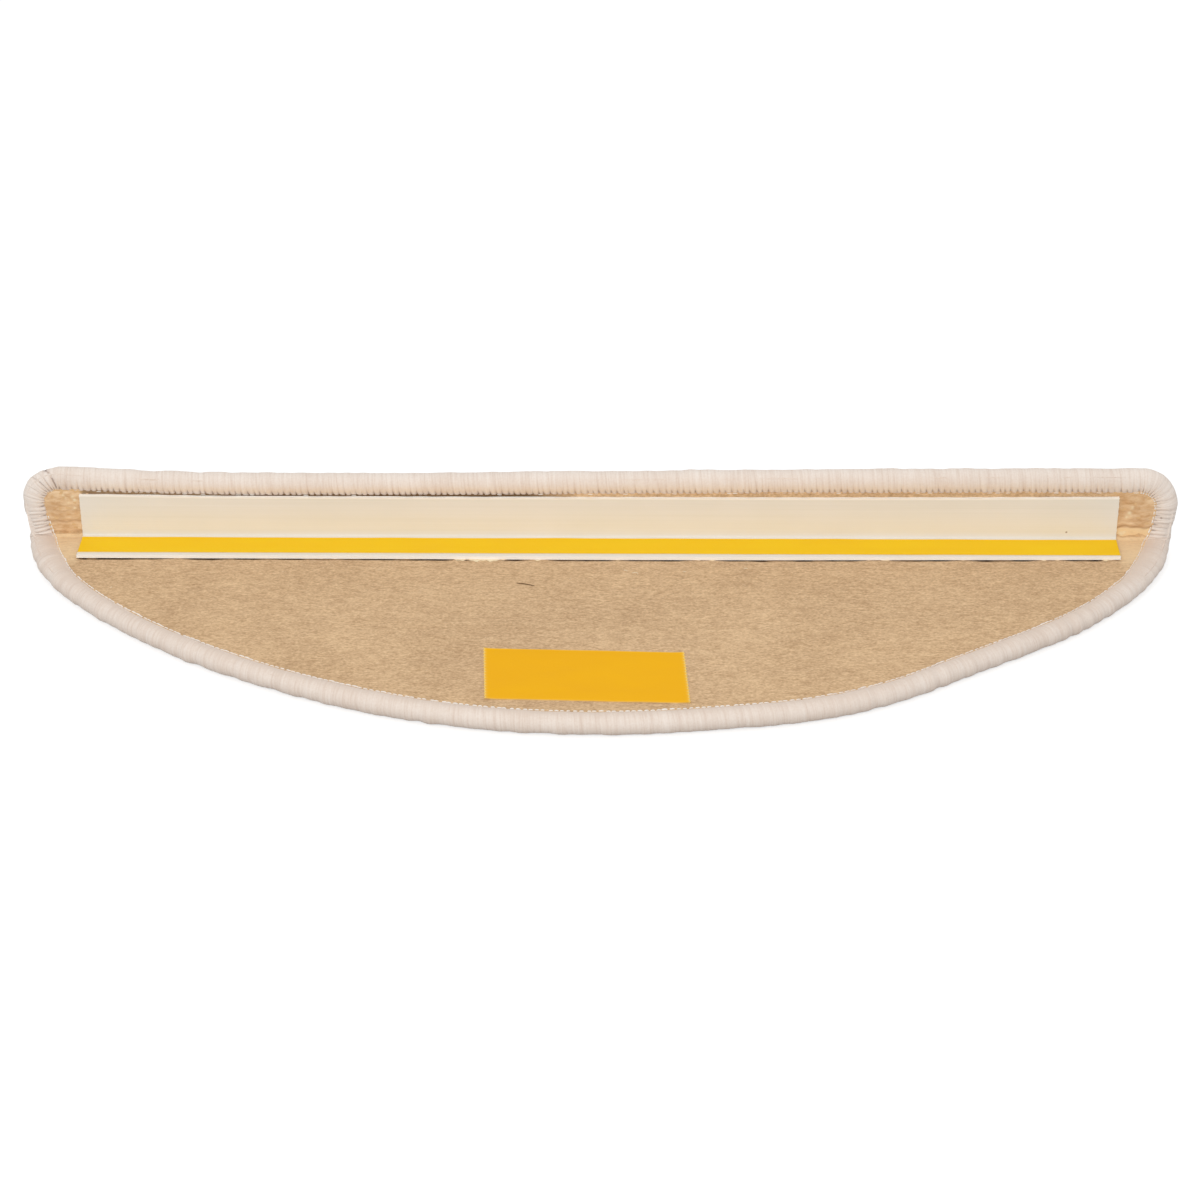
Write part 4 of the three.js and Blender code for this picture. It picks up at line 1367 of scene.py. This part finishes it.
def flat_floor(settings):
    """A wide flat floor under the mat; its white glow is for the camera's own rays alone."""
    mesh = bpy.data.meshes.new("floor")
    corners = [(x * FLOOR_REACH, y * FLOOR_REACH, 0) for x, y in ((-1, -1), (1, -1), (1, 1), (-1, 1))]
    mesh.from_pydata(corners, [], [(0, 1, 2, 3)])
    floor = bpy.data.objects.new("floor", mesh)
    bpy.context.scene.collection.objects.link(floor)
    finish = Finish("floor", Roughness=1.0, Specular_IOR_Level=0.0)
    finish.shader.inputs["Base Color"].default_value = (*settings.floor, 1)
    glow = finish.node("Emission", {}, {"Color": (1, 1, 1, 1), "Strength": settings.floor_glow})
    both = finish.node("AddShader")
    finish.tree.links.new(finish.shader.outputs[0], both.inputs[0])
    finish.tree.links.new(glow.outputs[0], both.inputs[1])
    for_camera(finish.tree, finish.shader, both, find_node(finish.tree, "OutputMaterial"))
    finish.on(floor)
    return floor


def key_lamp(power):
    """A square area lamp that faces the mat's middle."""
    light = bpy.data.lights.new("key_lamp", "AREA")
    light.energy, light.size = power, LAMP_SIZE
    made = bpy.data.objects.new("key_lamp", light)
    made.location = LAMP_PLACE
    made.rotation_mode = "QUATERNION"
    made.rotation_quaternion = (-LAMP_PLACE).to_track_quat("-Z", "Y")
    bpy.context.scene.collection.objects.link(made)


def world_light(strength):
    """Even light from all round; the camera sees plain white there."""
    world = bpy.data.worlds.new("soft_sky")
    world.use_nodes = True
    tree = world.node_tree
    sky, white = find_node(tree, "Background"), tree.nodes.new("ShaderNodeBackground")
    sky.inputs["Strength"].default_value = strength
    for node in (sky, white):
        node.inputs["Color"].default_value = (1, 1, 1, 1)
    for_camera(tree, sky, white, find_node(tree, "OutputWorld"))
    bpy.context.scene.world = world


def photo_camera(lens):
    """The camera where the photograph was taken from, worked out from the mat's outline in it: it looks at
    its target along a yaw and a rise, and is then rolled about its line of sight."""
    level = np.array([math.sin(CAMERA_YAW), math.cos(CAMERA_YAW), 0.0])
    ahead = level * math.cos(CAMERA_RISE) - np.array([0, 0, math.sin(CAMERA_RISE)])
    right = np.array([math.cos(CAMERA_YAW), -math.sin(CAMERA_YAW), 0.0])
    up = np.cross(right, ahead)
    c, s = math.cos(CAMERA_ROLL), math.sin(CAMERA_ROLL)
    right, up = right * c + up * s, up * c - right * s
    data = bpy.data.cameras.new("camera")
    data.lens, data.sensor_width, data.clip_start, data.clip_end = lens, FILM_WIDTH, 0.05, 100.0
    camera = bpy.data.objects.new("camera", data)
    place = CAMERA_TARGET + CORNER - ahead * CAMERA_AWAY
    axes = np.stack([right, up, -ahead], 1)
    camera.matrix_world = Matrix([[*axes[i], place[i]] for i in range(3)] + [[0, 0, 0, 1]])
    bpy.context.scene.collection.objects.link(camera)
    bpy.context.scene.camera = camera
    bpy.context.scene.view_settings.view_transform = "Standard"


STEPS = (
    TREADMAT_OT_felt,
    TREADMAT_OT_pile,
    TREADMAT_OT_binding,
    TREADMAT_OT_angle,
    TREADMAT_OT_glue,
    TREADMAT_OT_tapes,
    TREADMAT_OT_fibres,
    TREADMAT_OT_stage,
)
SETTINGS = {
    "tread_mat_binding": BindingSettings,
    "tread_mat_felt": FeltSettings,
    "tread_mat_glue": GlueSettings,
    "tread_mat_plastic": PlasticSettings,
    "tread_mat_tapes": TapeSettings,
    "tread_mat_pile": PileSettings,
    "tread_mat_stage": StageSettings,
}


class TREADMAT_PT_panel(bpy.types.Panel):
    """Lists the mat's pieces and their settings."""

    bl_idname = "TREADMAT_PT_panel"
    bl_label = "Half-round tread mat"
    bl_space_type = "VIEW_3D"
    bl_region_type = "UI"
    bl_category = "Tread Mat"

    def draw(self, context):
        for step in STEPS:
            self.layout.operator(step.bl_idname)
        for name, group in SETTINGS.items():
            box = self.layout.box()
            box.label(text=group.__doc__)
            for setting in group.__annotations__:
                box.prop(getattr(context.scene, name), setting)


def register():
    for group in SETTINGS.values():
        bpy.utils.register_class(group)
    for name, group in SETTINGS.items():
        setattr(bpy.types.Scene, name, PointerProperty(type=group))
    for made in (*STEPS, TREADMAT_PT_panel):
        bpy.utils.register_class(made)


def unregister():
    for made in reversed((*STEPS, TREADMAT_PT_panel)):
        bpy.utils.unregister_class(made)
    for name, group in SETTINGS.items():
        delattr(bpy.types.Scene, name)
        bpy.utils.unregister_class(group)


def main():
    """Registers the add-on and makes every piece in order."""
    register()
    for step in STEPS:
        group, name = step.bl_idname.split(".")
        getattr(getattr(bpy.ops, group), name)()


if __name__ == "__main__":
    main()
